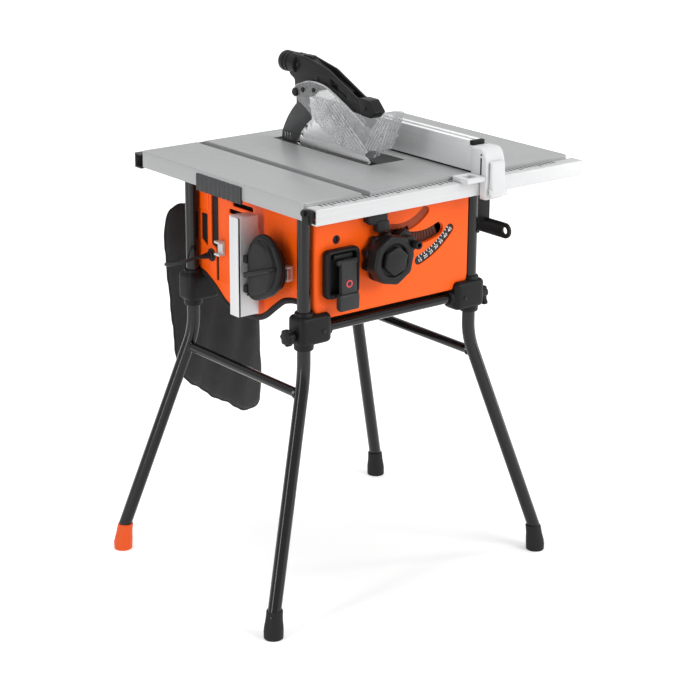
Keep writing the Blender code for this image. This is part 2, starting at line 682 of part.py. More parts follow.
# Bevel plate in front of the panel, with its neck through the curved slot
neck = (BLADE_X - BEVEL_ARC * sin(radians(ARC_LEAD)), TOP - BEVEL_ARC * cos(radians(ARC_LEAD)))
plate_back = PANEL_FACE - 2 * RUN
plate_front = plate_back - PLATE_DEEP
plate_outline = circle(WHEEL_X, WHEEL_Z, PLATE_RADIUS, 24)
bevel_plate = prism("bevel_plate", "black", "y", plate_outline, plate_front, plate_back)
combine(bevel_plate, prism_mesh("plate_ear", "y", capsule((WHEEL_X, WHEEL_Z), neck, PLATE_EAR_RADIUS),
                                plate_front + RUN, plate_back - FIT), "UNION")
combine(bevel_plate, prism_mesh("plate_neck", "y", circle(*neck, NECK_RADIUS),
                                plate_front + PLATE_DEEP / 2, cradle_front - FIT), "UNION")

# Height crank with its ear and knob
wheel_back = plate_front - FIT
wheel_front = wheel_back - WHEEL_DEEP
crank = turned("crank_wheel", "black", "y", (WHEEL_X, WHEEL_Z),
               [(WHEEL_RADIUS, wheel_back), (WHEEL_RADIUS, wheel_front + WHEEL_DEEP / 4),
                (WHEEL_RADIUS * 0.9, wheel_front), (CAP_RADIUS * 1.1, wheel_front),
                (CAP_RADIUS, wheel_front - CAP_RISE)], 16)
ear = (WHEEL_X + EAR_REACH * cos(radians(EAR_ANGLE)), WHEEL_Z + EAR_REACH * sin(radians(EAR_ANGLE)))
ear_front = wheel_back - WHEEL_DEEP * 0.6
combine(crank, prism_mesh("crank_ear", "y", capsule((WHEEL_X, WHEEL_Z), ear, EAR_RADIUS),
                          ear_front, wheel_back - FIT), "UNION")
turned("crank_knob", "rubber", "y", ear,
       [(CRANK_KNOB_RADIUS * 0.8, ear_front - FIT), (CRANK_KNOB_RADIUS, ear_front - CRANK_KNOB_LONG * 0.3),
        (CRANK_KNOB_RADIUS, ear_front - CRANK_KNOB_LONG)], 12)
pivots["crank_wheel"] = (WHEEL_X, wheel_back, WHEEL_Z)
pivots["crank_knob"] = (ear[0], ear_front, ear[1])

# Lift plate between the cradle's legs, and the motor on its left
lift_right = BLADE_X - LIFT_PLATE_OFFSET
lift_left = lift_right - LIFT_PLATE_THICK
prism("lift_plate", "steel", "x",
      box(cradle_front + CRADLE_LEG + FIT, cradle_back - CRADLE_LEG - FIT,
          BLADE_Z - LIFT_PLATE_UNDER, BLADE_Z + LIFT_PLATE_OVER), lift_left, lift_right)
motor_right = lift_left - FIT
turned("motor", "dark", "x", (BLADE_Y, BLADE_Z - MOTOR_DROP),
       [(MOTOR_RADIUS, motor_right), (MOTOR_RADIUS, motor_right - MOTOR_LENGTH * 0.85),
        (MOTOR_RADIUS * 0.8, motor_right - MOTOR_LENGTH)], 20)

# Blade with its teeth, on an arbor with two flanges
blade_half = BLADE_THICK / 2
rim = []
for tooth in range(TEETH):
    start = 2 * pi * tooth / TEETH
    for radius, share in ((BLADE_RADIUS, 0.0), (BLADE_RADIUS - TOOTH_DEPTH, 0.35)):
        angle = start + share * 2 * pi / TEETH
        rim.append((BLADE_Y + radius * cos(angle), BLADE_Z + radius * sin(angle)))
prism("blade", "steel", "x", rim, BLADE_X - blade_half, BLADE_X + blade_half,
      [circle(BLADE_Y, BLADE_Z, BLADE_BORE + FIT, 20)])
seat = blade_half + FIT
turned("arbor", "steel", "x", (BLADE_Y, BLADE_Z),
       [(ARBOR_RADIUS, lift_right + FIT), (ARBOR_RADIUS, BLADE_X - seat - FLANGE_THICK),
        (FLANGE_RADIUS, BLADE_X - seat - FLANGE_THICK), (FLANGE_RADIUS, BLADE_X - seat),
        (BLADE_BORE - FIT, BLADE_X - seat), (BLADE_BORE - FIT, BLADE_X + seat),
        (FLANGE_RADIUS, BLADE_X + seat), (FLANGE_RADIUS, BLADE_X + seat + FLANGE_THICK),
        (ARBOR_RADIUS, BLADE_X + seat + FLANGE_THICK),
        (ARBOR_RADIUS, BLADE_X + ARBOR_NOSE)], 16)
for name in ("lift_plate", "motor", "blade", "arbor"):
    pivots[name] = (BLADE_X, BLADE_Y, BLADE_Z)

# Splitter behind the blade, clamped to the cradle's rear leg
splitter_half = SPLITTER_THICK / 2
inner = BLADE_RADIUS + SPLITTER_GAP
outer = inner + SPLITTER_BAND
splitter_high = PIVOT_Z - ARM_SEAT - FIT
splitter_low = TOP - SPLITTER_LOW
splitter_back = insert_back - BLADE_SLOT_END - SPLITTER_INSET
outer_arc = arc(BLADE_Y, BLADE_Z, outer, SPLITTER_OUTER_START, SPLITTER_OUTER_END, 6)
inner_arc = arc(BLADE_Y, BLADE_Z, inner, SPLITTER_TOP, 0, 10)
splitter_outline = [(BLADE_Y + inner, splitter_low), (cradle_back - RUN, splitter_low),
                    (cradle_back - RUN, UNDER - FIT), (splitter_back, TOP), *outer_arc,
                    (outer_arc[-1][0], splitter_high), (inner_arc[0][0] + SPLITTER_SHOULDER, splitter_high),
                    *inner_arc]
prism("splitter", "dark", "x", splitter_outline, BLADE_X - splitter_half, BLADE_X + splitter_half)
clamp_outline = box(cradle_back - CRADLE_LEG + RUN, cradle_back - RUN,
                    splitter_low, splitter_low + CLAMP_TALL)
combine(cradle, prism_mesh("splitter_clamp", "x", clamp_outline, cradle_right - CRADLE_OFFSET,
                           BLADE_X - splitter_half - FIT), "UNION")

# Guard: black arm on the splitter with a dust port, and a clear shell that swings on the arm
def from_pivot(shape):
    return [(PIVOT_Y + along, PIVOT_Z + up) for along, up in shape]


guard_arm = prism("guard_arm", "black", "x", from_pivot(ARM_SHAPE),
                  BLADE_X - ARM_WIDTH / 2, BLADE_X + ARM_WIDTH / 2)
port_profile = [(PORT_RADIUS, PIVOT_Y + PORT_START), (PORT_RADIUS, PIVOT_Y + PORT_END)]
combine(guard_arm, turned_mesh("guard_port", "y", (BLADE_X, PIVOT_Z + PORT_RISE), port_profile, 20), "UNION")
boss_reach = SHELL_WIDTH / 2 - SHELL_WALL - FIT
boss_profile = [(BOSS_RADIUS, BLADE_X - boss_reach), (BOSS_RADIUS, BLADE_X + boss_reach)]
combine(guard_arm, turned_mesh("guard_boss", "x", (PIVOT_Y, PIVOT_Z), boss_profile, 16), "UNION")
left_low = TOP + SHELL_WIDTH / 2 + RUN
shell_upper = from_pivot(SHELL_UPPER)
shell_lower = from_pivot(SHELL_LOWER)
shell_left = BLADE_X - SHELL_WIDTH / 2
shell_right = BLADE_X + SHELL_WIDTH / 2
left_plate = shell_upper + [(y, max(z, left_low)) for y, z in shell_lower]
guard_shell = prism("guard_shell", "clear", "x", left_plate, shell_left, shell_left + SHELL_WALL)
combine(guard_shell, prism_mesh("shell_bridge", "x", from_pivot(SHELL_BRIDGE),
                                shell_left + SHELL_WALL / 2, shell_right - SHELL_WALL / 2), "UNION")
combine(guard_shell, prism_mesh("shell_right", "x", shell_upper + shell_lower,
                                shell_right - SHELL_WALL, shell_right), "UNION")
pivots["guard_shell"] = (BLADE_X, PIVOT_Y, PIVOT_Z)

# Rip fence: extrusion with two top ridges, head over the rail, cursor and clamp lever
fence_low = TOP + RUN
fence_high = TOP + FENCE_TALL
fence_right = FENCE_X + FENCE_WIDTH
head_back = -3 * RUN
ridge_right = fence_right - FENCE_RIDGE
ridge_left = FENCE_X + FENCE_RIDGE
groove_low = fence_high - FENCE_GROOVE
fence_outline = [(FENCE_X, fence_low), (fence_right, fence_low), (fence_right, fence_high),
                 (ridge_right, fence_high), (ridge_right, groove_low), (ridge_left, groove_low),
                 (ridge_left, fence_high), (FENCE_X, fence_high)]
prism("fence_body", "silver", "y", fence_outline, head_back + FIT, FENCE_BACK)
head_front = -RAIL_REACH - HEAD_REACH
head_left = FENCE_X - HEAD_LEFT
head_high = TOP + HEAD_RISE
lip_back = -RAIL_REACH - FIT
head_outline = [(head_back, rail_top + FIT), (head_back, head_high),
                (head_front + HEAD_BEVEL_DEEP, head_high), (head_front, head_high - HEAD_BEVEL_TALL),
                (head_front, rail_top - HEAD_LIP), (lip_back, rail_top - HEAD_LIP),
                (lip_back, rail_top + FIT)]
prism("fence_head", "white", "x", head_outline, head_left, head_left + HEAD_WIDTH)
cursor_right = head_left - FIT
cursor_middle = (cursor_right - CURSOR_WIDTH / 2, (head_front + head_back) / 2)
prism("fence_cursor", "white", "z", box(cursor_right - CURSOR_WIDTH, cursor_right, head_front, head_back),
      rail_top + FIT, rail_top + FIT + CURSOR_THICK,
      [box(cursor_middle[0] - CURSOR_WINDOW / 2, cursor_middle[0] + CURSOR_WINDOW / 2,
           cursor_middle[1] - CURSOR_WINDOW / 2, cursor_middle[1] + CURSOR_WINDOW / 2)])
clamp_back = head_front - FIT
clamp_front = clamp_back - CLAMP_LEVER_DEEP
clamp_high = head_high - CLAMP_LEVER_DROP
clamp_low = clamp_high - CLAMP_LEVER_TALL
clamp_left = head_left + (HEAD_WIDTH - CLAMP_LEVER_WIDTH) / 2
clamp_shape = [(clamp_back, clamp_high),
               (clamp_back - CLAMP_LEVER_DEEP * 0.6, clamp_high - CLAMP_LEVER_BEVEL),
               (clamp_front, clamp_low), (clamp_back, clamp_low)]
prism("fence_lever", "white", "x", clamp_shape, clamp_left, clamp_left + CLAMP_LEVER_WIDTH)
pivots["fence_lever"] = (head_left + HEAD_WIDTH / 2, clamp_back, clamp_high)
for name in ("fence_body", "fence_head", "fence_cursor"):
    pivots[name] = (FENCE_X, head_back, TOP)

# Mitre gauge, clipped to the left panel with its face upright
bar_in = SIDE_OUT - GAUGE_STANDOFF
bar_out = bar_in - GAUGE_BAR_THICK
bar_low = GAUGE_Z - GAUGE_BAR_WIDE / 2
bar_high = GAUGE_Z + GAUGE_BAR_WIDE / 2
bar_back = GAUGE_BAR_FRONT + GAUGE_BAR_LONG
prism("mitre_bar", "steel", "y", box(bar_out, bar_in, bar_low, bar_high), GAUGE_BAR_FRONT, bar_back)
head_in = bar_out - FIT
half_head = [(GAUGE_Y - FIT - GAUGE_HEAD_REACH * sin(pi * step / 12),
              GAUGE_Z + GAUGE_HEAD_RADIUS * cos(pi * step / 12)) for step in range(13)]
prism("mitre_head", "black", "x", half_head, head_in - GAUGE_HEAD_THICK, head_in)
prism("mitre_face", "silver", "z",
      box(head_in - GAUGE_FACE_WIDE, head_in, GAUGE_Y, GAUGE_Y + GAUGE_FACE_THICK),
      GAUGE_Z - GAUGE_FACE_TALL / 2, GAUGE_Z + GAUGE_FACE_TALL / 2)
for name in ("mitre_bar", "mitre_head", "mitre_face"):
    pivots[name] = (bar_out, GAUGE_Y - GAUGE_PIVOT, GAUGE_Z)
clip_high = bar_high + FIT
clip_low = bar_low - FIT
clip_outline = [(SIDE_OUT - FIT, clip_low - CLIP_ARM), (SIDE_OUT - FIT, clip_high + CLIP_ARM),
                (bar_out, clip_high + CLIP_ARM), (bar_out, clip_high), (bar_in + FIT, clip_high),
                (bar_in + FIT, clip_low), (bar_out, clip_low), (bar_out, clip_low - CLIP_ARM)]
for name, start in (("clip_front", GAUGE_BAR_FRONT + RUN), ("clip_rear", CLIP_REAR)):
    prism(name, "steel", "y", clip_outline, start, start + CLIP_LONG)

# Push stick on its hook under the right cover
stick_high = STICK_LOW + STICK_TALL
stick_back = STICK_FRONT + STICK_LONG
stick_mid = (STICK_LOW + stick_high) / 2
stick_eye = (STICK_FRONT + STICK_TALL / 2, stick_mid)
stick_outline = (arc(*stick_eye, STICK_TALL / 2, 90, 270, 6)
                 + [(stick_back, STICK_LOW), (stick_back - STICK_NOTCH, stick_mid), (stick_back, stick_mid),
                    (stick_back - STICK_TAIL, stick_high)])
prism("push_stick", "black", "x", stick_outline, STICK_X, STICK_X + STICK_THICK,
      [circle(*stick_eye, STICK_HOLE, 12)])
pivots["push_stick"] = (STICK_X, *stick_eye)
hook_in = STICK_X + STICK_THICK + FIT
hook_outline = box(hook_in, COVER_RIGHT + HOOK_WALL, STICK_LOW, COVER_LOW + HOOK_WALL)
combine(right_cover, prism_mesh("stick_hook", "y", hook_outline, HOOK_FRONT, HOOK_FRONT + HOOK_LONG), "UNION")

# Dust port and bag behind the shell
dust_profile = [(DUST_RADIUS, SHELL_BACK - SIDE_WALL / 2), (DUST_RADIUS, BAG_FRONT - FIT)]
combine(rear_shell, turned_mesh("dust_port", "y", (DUST_X, TOP - DUST_DROP), dust_profile, 20), "UNION")
bag_outline = [(BAG_LEFT + BAG_WIDTH * across, BAG_LOW + BAG_TALL * up) for across, up in BAG_SHARES]
bag = prism("dust_bag", "cloth", "y", bag_outline, BAG_FRONT, BAG_FRONT + BAG_DEEP)
bag_rim = bag.modifiers.new("rim", "BEVEL")
bag_rim.width = BAG_RIM
bag_rim.segments = 3
bag_rim.limit_method = "ANGLE"
bag_rim.angle_limit = BAG_RIM_ANGLE

# Cord: gland, free lead, coil on its peg and plug
gland_end = SIDE_OUT - FIT - GLAND_LONG
turned("cord_gland", "rubber", "x", (GLAND_Y, GLAND_Z),
       [(GLAND_RADIUS, SIDE_OUT - FIT), (GLAND_RADIUS, SIDE_OUT - GLAND_LONG * 0.3),
        (CORD_RADIUS * 1.2, gland_end)], 12)


def smooth(route, steps):
    """Points on a smooth curve through a route."""
    spots = [Vector(spot) for spot in route]
    spots = [2 * spots[0] - spots[1], *spots, 2 * spots[-1] - spots[-2]]
    found = []
    for a, b, c, d in zip(spots, spots[1:], spots[2:], spots[3:]):
        for step in range(steps):
            t = step / steps
            found.append(0.5 * (2 * b + (c - a) * t + (2 * a - 5 * b + 4 * c - d) * t ** 2
                                + (3 * b - a - 3 * c + d) * t ** 3))
    return found + [spots[-2]]


coil_low = COIL_Z - COIL_RADIUS
coil_start = Vector((COIL_X, COIL_Y - 2 * CORD_RADIUS, coil_low))
lead = [(gland_end - FIT, GLAND_Y, GLAND_Z), *[(x, y, TOP - drop) for x, y, drop in LEAD_ROUTE],
        coil_start - Vector((0, 2 * FIT, 0))]
pipe("cord", "rubber", smooth(lead, 2), CORD_RADIUS, 2)


def coil_spot(turn):
    """One point of the coil: it winds in and out again and climbs a layer at each reversal."""
    layer = min(floor(turn / COIL_LAYER_TURNS), COIL_LAYERS - 1)
    inside = turn / COIL_LAYER_TURNS - layer
    inside = 1 - inside if layer % 2 else inside
    radius = COIL_RADIUS - COIL_PITCH * COIL_LAYER_TURNS * inside
    nearest = max(1, min(COIL_LAYERS - 1, round(turn / COIL_LAYER_TURNS)))
    climb = min(1.0, max(0.0, 2 * (turn - nearest * COIL_LAYER_TURNS) + 0.5))
    angle = 2 * pi * turn - pi / 2
    return Vector((COIL_X + COIL_PITCH * (nearest - 1 + climb), COIL_Y + radius * cos(angle),
                   COIL_Z + radius * sin(angle)))


turns = COIL_LAYERS * COIL_LAYER_TURNS
count = ceil(turns * COIL_STEPS)
winding = [coil_spot(turns * step / count) for step in range(count + 1)]
coil_end = winding[-1] - Vector((0, 0, COIL_TAIL))
winding = [coil_start, *winding, coil_end]
pipe("cord_coil", "rubber", winding, CORD_RADIUS, 1)
apart = min((a - b).length for i, a in enumerate(winding) for b in winding[i + COIL_STEPS // 2:])
print("least gap of the coil to itself, mm:", round((apart - 2 * CORD_RADIUS) * 1000, 2))
peg_z = COIL_Z + COIL_RADIUS - COIL_PITCH * COIL_LAYER_TURNS - CORD_RADIUS - PEG_RADIUS - FIT
peg_end = COIL_X - 3 * CORD_RADIUS
peg_profile = [(PEG_RADIUS, SHELL_STEP + SIDE_WALL / 2), (PEG_RADIUS, peg_end),
               (PEG_RADIUS * 1.5, peg_end), (PEG_RADIUS * 1.5, peg_end - CORD_RADIUS)]
combine(rear_shell, turned_mesh("cord_peg", "x", (COIL_Y, peg_z), peg_profile, 16), "UNION")
plug_high = coil_end.z - FIT
plug = turned("plug", "rubber", "z", (coil_end.x, coil_end.y),
              [(CORD_RADIUS * 1.3, plug_high), (PLUG_RADIUS * 0.7, plug_high - PLUG_LONG * 0.4),
               (PLUG_RADIUS, plug_high - PLUG_LONG * 0.7), (PLUG_RADIUS, plug_high - PLUG_LONG)], 16)
for name, across in (("pin_left", -1), ("pin_right", 1)):
    pin_spot = (coil_end.x + across * PLUG_RADIUS * 0.6, coil_end.y)
    pin_profile = [(PIN_RADIUS, plug_high - PLUG_LONG * 0.8), (PIN_RADIUS, plug_high - PLUG_LONG - PIN_LONG)]
    combine(plug, turned_mesh(name, "z", pin_spot, pin_profile, 8), "UNION")

# Move everything so that the middle of the footprint is the origin, with moving pieces on their axes
foot = leg_spot("front_left", LEG_END)
left_edge = foot.x - FOOT_RADIUS
front_edge = min(foot.y - FOOT_RADIUS, clamp_front)
back_edge = max(TABLE_DEPTH + REAR_RAIL_REACH, FENCE_BACK, BAG_FRONT + BAG_DEEP)
middle = Vector(((left_edge + rail_right) / 2, (front_edge + back_edge) / 2, 0))
for piece in [*pieces.objects, *helpers.objects]:
    pivot = Vector(pivots.get(piece.name, (0, 0, 0)))
    piece.data.transform(Matrix.Translation(-pivot))
    piece.location = pivot - middle
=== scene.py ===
"""A table saw on a tube stand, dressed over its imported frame.

Places are in metres in the saw's own frame: X right along the front of the table, Y to the back
and Z up from the floor, counted from the front left corner of the table top in plan.
"""

import bmesh
import bpy
import numpy as np
from mathutils import Matrix, Vector
from mathutils.geometry import tessellate_polygon


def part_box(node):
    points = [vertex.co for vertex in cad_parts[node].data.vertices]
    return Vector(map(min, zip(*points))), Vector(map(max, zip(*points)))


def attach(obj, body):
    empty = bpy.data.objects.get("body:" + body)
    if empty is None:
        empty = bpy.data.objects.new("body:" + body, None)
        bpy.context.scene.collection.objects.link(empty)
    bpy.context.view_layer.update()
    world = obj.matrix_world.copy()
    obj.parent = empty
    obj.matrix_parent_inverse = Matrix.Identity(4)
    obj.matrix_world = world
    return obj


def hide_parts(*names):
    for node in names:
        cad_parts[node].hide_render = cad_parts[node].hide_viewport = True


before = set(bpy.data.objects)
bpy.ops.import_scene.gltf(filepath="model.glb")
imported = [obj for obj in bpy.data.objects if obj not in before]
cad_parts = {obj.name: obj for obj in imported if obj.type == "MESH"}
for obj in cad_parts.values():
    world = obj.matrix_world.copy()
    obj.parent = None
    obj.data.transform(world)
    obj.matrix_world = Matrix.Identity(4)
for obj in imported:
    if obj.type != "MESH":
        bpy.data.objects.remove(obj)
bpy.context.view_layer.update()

# Studio: a pale sweep under wide soft lamps, with a long lens a little above the table that
# looks down on the saw's front left corner.
home = np.array([*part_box("table_top")[0][:2], 0.0])
yaw, dip, roll = np.radians((38.6487, 18.411, 0.4535))
ahead = np.array((np.sin(yaw) * np.cos(dip), np.cos(yaw) * np.cos(dip), -np.sin(dip)))
level = np.array((np.cos(yaw), -np.sin(yaw), 0.0))
upright = np.cross(level, ahead)
across = np.cos(roll) * level + np.sin(roll) * upright
upward = np.cos(roll) * upright - np.sin(roll) * level
eye = home + (-2.0636, -2.7136, 1.6544)
lens = bpy.data.cameras.new("studio_camera")
lens.lens = 103.77
lens.sensor_width = 36.0
camera = bpy.data.objects.new("studio_camera", lens)
camera.matrix_world = Matrix(np.column_stack((across, upward, -ahead, eye)).tolist() + [[0, 0, 0, 1]])
bpy.context.collection.objects.link(camera)
bpy.context.scene.camera = camera
bpy.context.scene.view_settings.view_transform = "Standard"


class Tone:
    """A value inside a finish. Sums, products and comparisons of tones add Math nodes."""

    def __init__(self, finish, socket):
        self.finish = finish
        self.socket = socket

    def worked(self, operation, first, second):
        return self.finish.node("ShaderNodeMath", {"operation": operation}, {0: first, 1: second})

    def __add__(self, other):
        return self.worked("ADD", self, other)

    def __sub__(self, other):
        return self.worked("SUBTRACT", self, other)

    def __rsub__(self, other):
        return self.worked("SUBTRACT", other, self)

    def __mul__(self, other):
        return self.worked("MULTIPLY", self, other)

    def __mod__(self, other):
        return self.worked("FLOORED_MODULO", self, other)

    def __lt__(self, other):
        return self.worked("LESS_THAN", self, other)

    def __gt__(self, other):
        return self.worked("GREATER_THAN", self, other)

    __radd__ = __add__
    __rmul__ = __mul__


class Finish:
    """A material around one Principled shader, painted from the piece's own Object coordinates."""

    def __init__(self, name, colour, roughness, **fixed):
        self.material = bpy.data.materials.new(name)
        self.material.use_nodes = True
        self.tree = self.material.node_tree
        self.shader = self.tree.nodes["Principled BSDF"].inputs
        self.feed(self.shader["Base Color"], colour)
        self.feed(self.shader["Roughness"], roughness)
        for socket, value in fixed.items():
            self.feed(self.shader[socket.replace("_", " ")], value)

    def feed(self, pin, value):
        if isinstance(value, Tone):
            self.tree.links.new(value.socket, pin)
        elif isinstance(value, tuple) and pin.type == "RGBA":
            pin.default_value = (*value, 1.0)
        else:
            pin.default_value = value

    def node(self, kind, settings=None, sockets=None, out=0):
        made = self.tree.nodes.new(kind)
        for name, value in (settings or {}).items():
            setattr(made, name, value)
        for name, value in (sockets or {}).items():
            self.feed(made.inputs[name], value)
        return Tone(self, made.outputs[out])

    def spot(self, scale=(1.0, 1.0, 1.0)):
        """The place on the piece, stretched along each axis."""
        place = self.node("ShaderNodeTexCoord", out="Object")
        return self.node("ShaderNodeVectorMath", {"operation": "MULTIPLY"}, {0: place, 1: scale})

    def axis(self, name):
        """One coordinate of the place on the piece, in the saw's frame."""
        place = self.node("ShaderNodeSeparateXYZ", None, {0: self.spot()}, name)
        return place - float(home["XYZ".index(name)])

    def noise(self, scale, detail=2.0):
        """Cloudy values from 0 to 1; scale is in clouds a metre, one number or one for each axis."""
        steps = scale if isinstance(scale, tuple) else (scale, scale, scale)
        return self.node("ShaderNodeTexNoise", None, {"Vector": self.spot(steps), "Scale": 1.0,
                                                      "Detail": detail})

    def blend(self, share, first, second):
        """One colour passing into another."""
        return self.node("ShaderNodeMix", {"data_type": "RGBA"}, {0: share, 6: first, 7: second}, 2)

    def paint(self, share, first, second):
        self.feed(self.shader["Base Color"], self.blend(share, first, second))
        return self

    def gloss(self, roughness):
        self.feed(self.shader["Roughness"], roughness)
        return self

    def relief(self, height, depth):
        self.feed(self.shader["Normal"], self.node(
            "ShaderNodeBump", None, {"Height": height, "Distance": depth, "Strength": 1.0}))
        return self


def moulded(name, colour, shade, roughness, grain=0.00006, **fixed):
    """Moulded plastic: a spark-eroded grain, faint cloudy wear in the gloss and a drifting tint."""
    made = Finish(name, colour, roughness, **{"Specular_IOR_Level": 0.22, **fixed})
    made.paint(made.noise(9.0, 4.0), colour, shade)
    made.gloss(roughness - 0.08 + 0.16 * made.noise(35.0, 5.0))
    return made.relief(made.noise(1400.0, 3.0), grain)


floor_mesh = bpy.data.meshes.new("studio_floor")
floor_mesh.from_pydata([(-9, -9, 0), (9, -9, 0), (9, 9, 0), (-9, 9, 0)], [], [(0, 1, 2, 3)])
floor = bpy.data.objects.new("studio_floor", floor_mesh)
bpy.context.collection.objects.link(floor)
# The floor glows by itself, weakly near the saw and more further out: painted light that keeps the floor
# white and lights the saw from below.
floor_finish = Finish("pale_floor_painted_glow", (0.90, 0.90, 0.90), 0.8, Specular_IOR_Level=0.1, Emission_Strength=1.0)
floor_finish.paint(floor_finish.noise(0.6), (0.89, 0.89, 0.89), (0.91, 0.91, 0.91))
away = floor_finish.node("ShaderNodeVectorMath", {"operation": "LENGTH"}, {0: floor_finish.spot()}, "Value")
floor_finish.feed(floor_finish.shader["Emission Color"],
                  floor_finish.blend((away - 1.0) * 0.35, (0.30, 0.30, 0.30), (0.74, 0.74, 0.74)))
floor_mesh.materials.append(floor_finish.material)
world = bpy.data.worlds.new("studio_air")
world.use_nodes = True
sky = world.node_tree.nodes["Background"]
sky.inputs["Color"].default_value = (1.0, 1.0, 1.0, 1.0)
ray = world.node_tree.nodes.new("ShaderNodeLightPath")
glow = sky.inputs["Strength"]
for kind, extra in (("Is Camera Ray", 0.58), ("Is Glossy Ray", 0.30)):
    lift = world.node_tree.nodes.new("ShaderNodeMath")
    lift.operation = "MULTIPLY_ADD"
    lift.inputs[1].default_value = extra
    lift.inputs[2].default_value = 0.42
    world.node_tree.links.new(ray.outputs[kind], lift.inputs[0])
    world.node_tree.links.new(lift.outputs[0], glow)
    glow = lift.inputs[2]
bpy.context.scene.world = world
for name, spot, wide, tall, power in (("key_lamp", (1.1, -3.2, 2.3), 1.8, 1.8, 78.0),
                                      ("left_strip", (-3.3, -0.5, 1.3), 0.5, 2.8, 44.0),
                                      ("right_strip", (3.2, -1.6, 1.2), 0.4, 2.6, 26.0),
                                      ("top_lamp", (0.2, 0.7, 3.6), 2.4, 2.4, 62.0)):
    light = bpy.data.lights.new(name, "AREA")
    light.shape = "RECTANGLE"
    light.size, light.size_y = wide, tall
    light.energy = power
    lamp = bpy.data.objects.new(name, light)
    lamp.location = spot
    lamp.rotation_euler = (Vector((0, 0, 0.6)) - Vector(spot)).to_track_quat("-Z", "Y").to_euler()
    bpy.context.collection.objects.link(lamp)


# Mains lead: black rubber-sheathed cable that leaves a ribbed boot on the left panel, loops round the
# back left post and is wound on a peg in the housing's back corner, held by a tie, its plug hanging down.
def dressed(thing, body, finish, slot, *nodes):
    """Give a piece its finish, the body it moves with and the nodes it stands for."""
    thing.data.materials.append(finish.material)
    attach(thing, body)
    if nodes:
        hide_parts(*nodes)
    return thing


def flowing(corners, steps):
    """A smooth curve through points: each stretch is the cubic whose slope at a point is half the
    step from the point before it to the point after it."""
    spots = np.asarray(corners, float)
    spots = np.concatenate(([2 * spots[0] - spots[1]], spots, [2 * spots[-1] - spots[-2]]))
    a, b, c, d = (spots[first:len(spots) - 3 + first, None] for first in range(4))
    t = (np.arange(steps) / steps)[None, :, None]
    curve = 0.5 * (2 * b + (c - a) * t + (2 * a - 5 * b + 4 * c - d) * t ** 2
                   + (3 * b - a - 3 * c + d) * t ** 3)
    return np.concatenate((curve.reshape(-1, spots.shape[1]), spots[-2:-1]))


CORD_RADIUS = 0.0035
COIL_MIDDLE = np.array((0.129, 0.436, 0.652))
COIL_RADIUS, COIL_PITCH, LAYER_TURNS, LAYERS = 0.042, 0.0078, 1.6875, 4
lead_route = ((-0.0019, 0.3400, 0.6120), (-0.0181, 0.3424, 0.6085), (-0.0283, 0.3493, 0.6055),
              (-0.0352, 0.3595, 0.6020), (-0.0376, 0.3716, 0.5985), (-0.0352, 0.3837, 0.5955),
              (-0.0283, 0.3939, 0.5930), (-0.0181, 0.4008, 0.5910), (-0.0060, 0.4032, 0.5895),
              (0.0120, 0.4036, 0.5885), (0.0330, 0.4036, 0.5885), (0.0550, 0.4036, 0.5920),
              (0.0770, 0.4034, 0.5990), (0.0975, 0.4032, 0.6055), (0.1105, 0.4055, 0.6085),
              (0.1203, 0.4119, 0.6098), (0.1268, 0.4217, 0.6100), (0.1290, 0.4330, 0.6100))
turn = np.linspace(0, LAYERS * LAYER_TURNS, 325)
layer = np.minimum(np.floor(turn / LAYER_TURNS), LAYERS - 1)
inward = turn / LAYER_TURNS - layer
inward = np.where(layer % 2 == 1, 1 - inward, inward)
reach = COIL_RADIUS - COIL_PITCH * LAYER_TURNS * inward
nearest = np.clip(np.round(turn / LAYER_TURNS), 1, LAYERS - 1)
climb = np.clip(2 * (turn - nearest * LAYER_TURNS) + 0.5, 0, 1)
winding = COIL_MIDDLE + np.stack((COIL_PITCH * (nearest - 1 + climb), reach * np.sin(2 * np.pi * turn),
                                  -reach * np.cos(2 * np.pi * turn)), axis=-1)
plug_top = winding[-1] - (0.0, 0.0, 0.044)
cord_line = np.concatenate((flowing(lead_route, 4), winding, np.linspace(winding[-1], plug_top, 5)[1:]))
cord_curve = bpy.data.curves.new("mains_lead", "CURVE")
cord_curve.dimensions = "3D"
cord_curve.bevel_depth = CORD_RADIUS
cord_curve.bevel_resolution = 4
cord_curve.use_fill_caps = True
cord_spline = cord_curve.splines.new("POLY")
cord_spline.points.add(len(cord_line) - 1)
cord_spline.points.foreach_set("co", np.column_stack((cord_line + home, np.ones(len(cord_line)))).ravel())
mains_lead = bpy.data.objects.new("mains_lead", cord_curve)
bpy.context.collection.objects.link(mains_lead)
cord_sheath = moulded("cord_sheath", (0.012, 0.012, 0.013), (0.02, 0.02, 0.02), 0.5, 0.00003)
dressed(mains_lead, "base", cord_sheath, "black_rubber", "cord", "cord_coil")


def laid(axis, flat, along):
    """Flat outline points set square to an axis, at a place along it."""
    return np.insert(np.asarray(flat, float), "xyz".index(axis), along, axis=1)


def full_turn(points):
    """So many angles, evenly spaced round a full turn."""
    return 2 * np.pi * np.arange(points) / points


def around(angle):
    """Directions at angles from the first axis: (cos a, sin a)."""
    return np.stack((np.cos(angle), np.sin(angle)), axis=-1)


def skin(rings, capped=True, looped=False):
    """Quads between neighbouring rings of equal length; flat caps close the first and last ring,
    or the last ring joins the first."""
    rings = np.asarray(rings)
    count, size = rings.shape[:2]
    row = np.arange(count if looped else count - 1)[:, None] * size
    after = (row + size) % (count * size)
    column = np.arange(size)[None, :]
    beside = (column + 1) % size
    quads = (row + column, row + beside, after + beside, after + column)
    faces = np.stack(quads, axis=-1).reshape(-1, 4).tolist()
    if capped:
        faces += [list(range(size)), list(range((count - 1) * size, count * size))]
    return rings.reshape(-1, 3), faces


def turned(axis, centre, profile, sides=40, looped=False):
    """(radius, place) pairs turned about an axis: each ring is centre + radius (cos a, sin a)."""
    circle = around(full_turn(sides))
    rings = [laid(axis, np.asarray(centre) + radius * circle, place) for radius, place in profile]
    return skin(rings, not looped, looped)


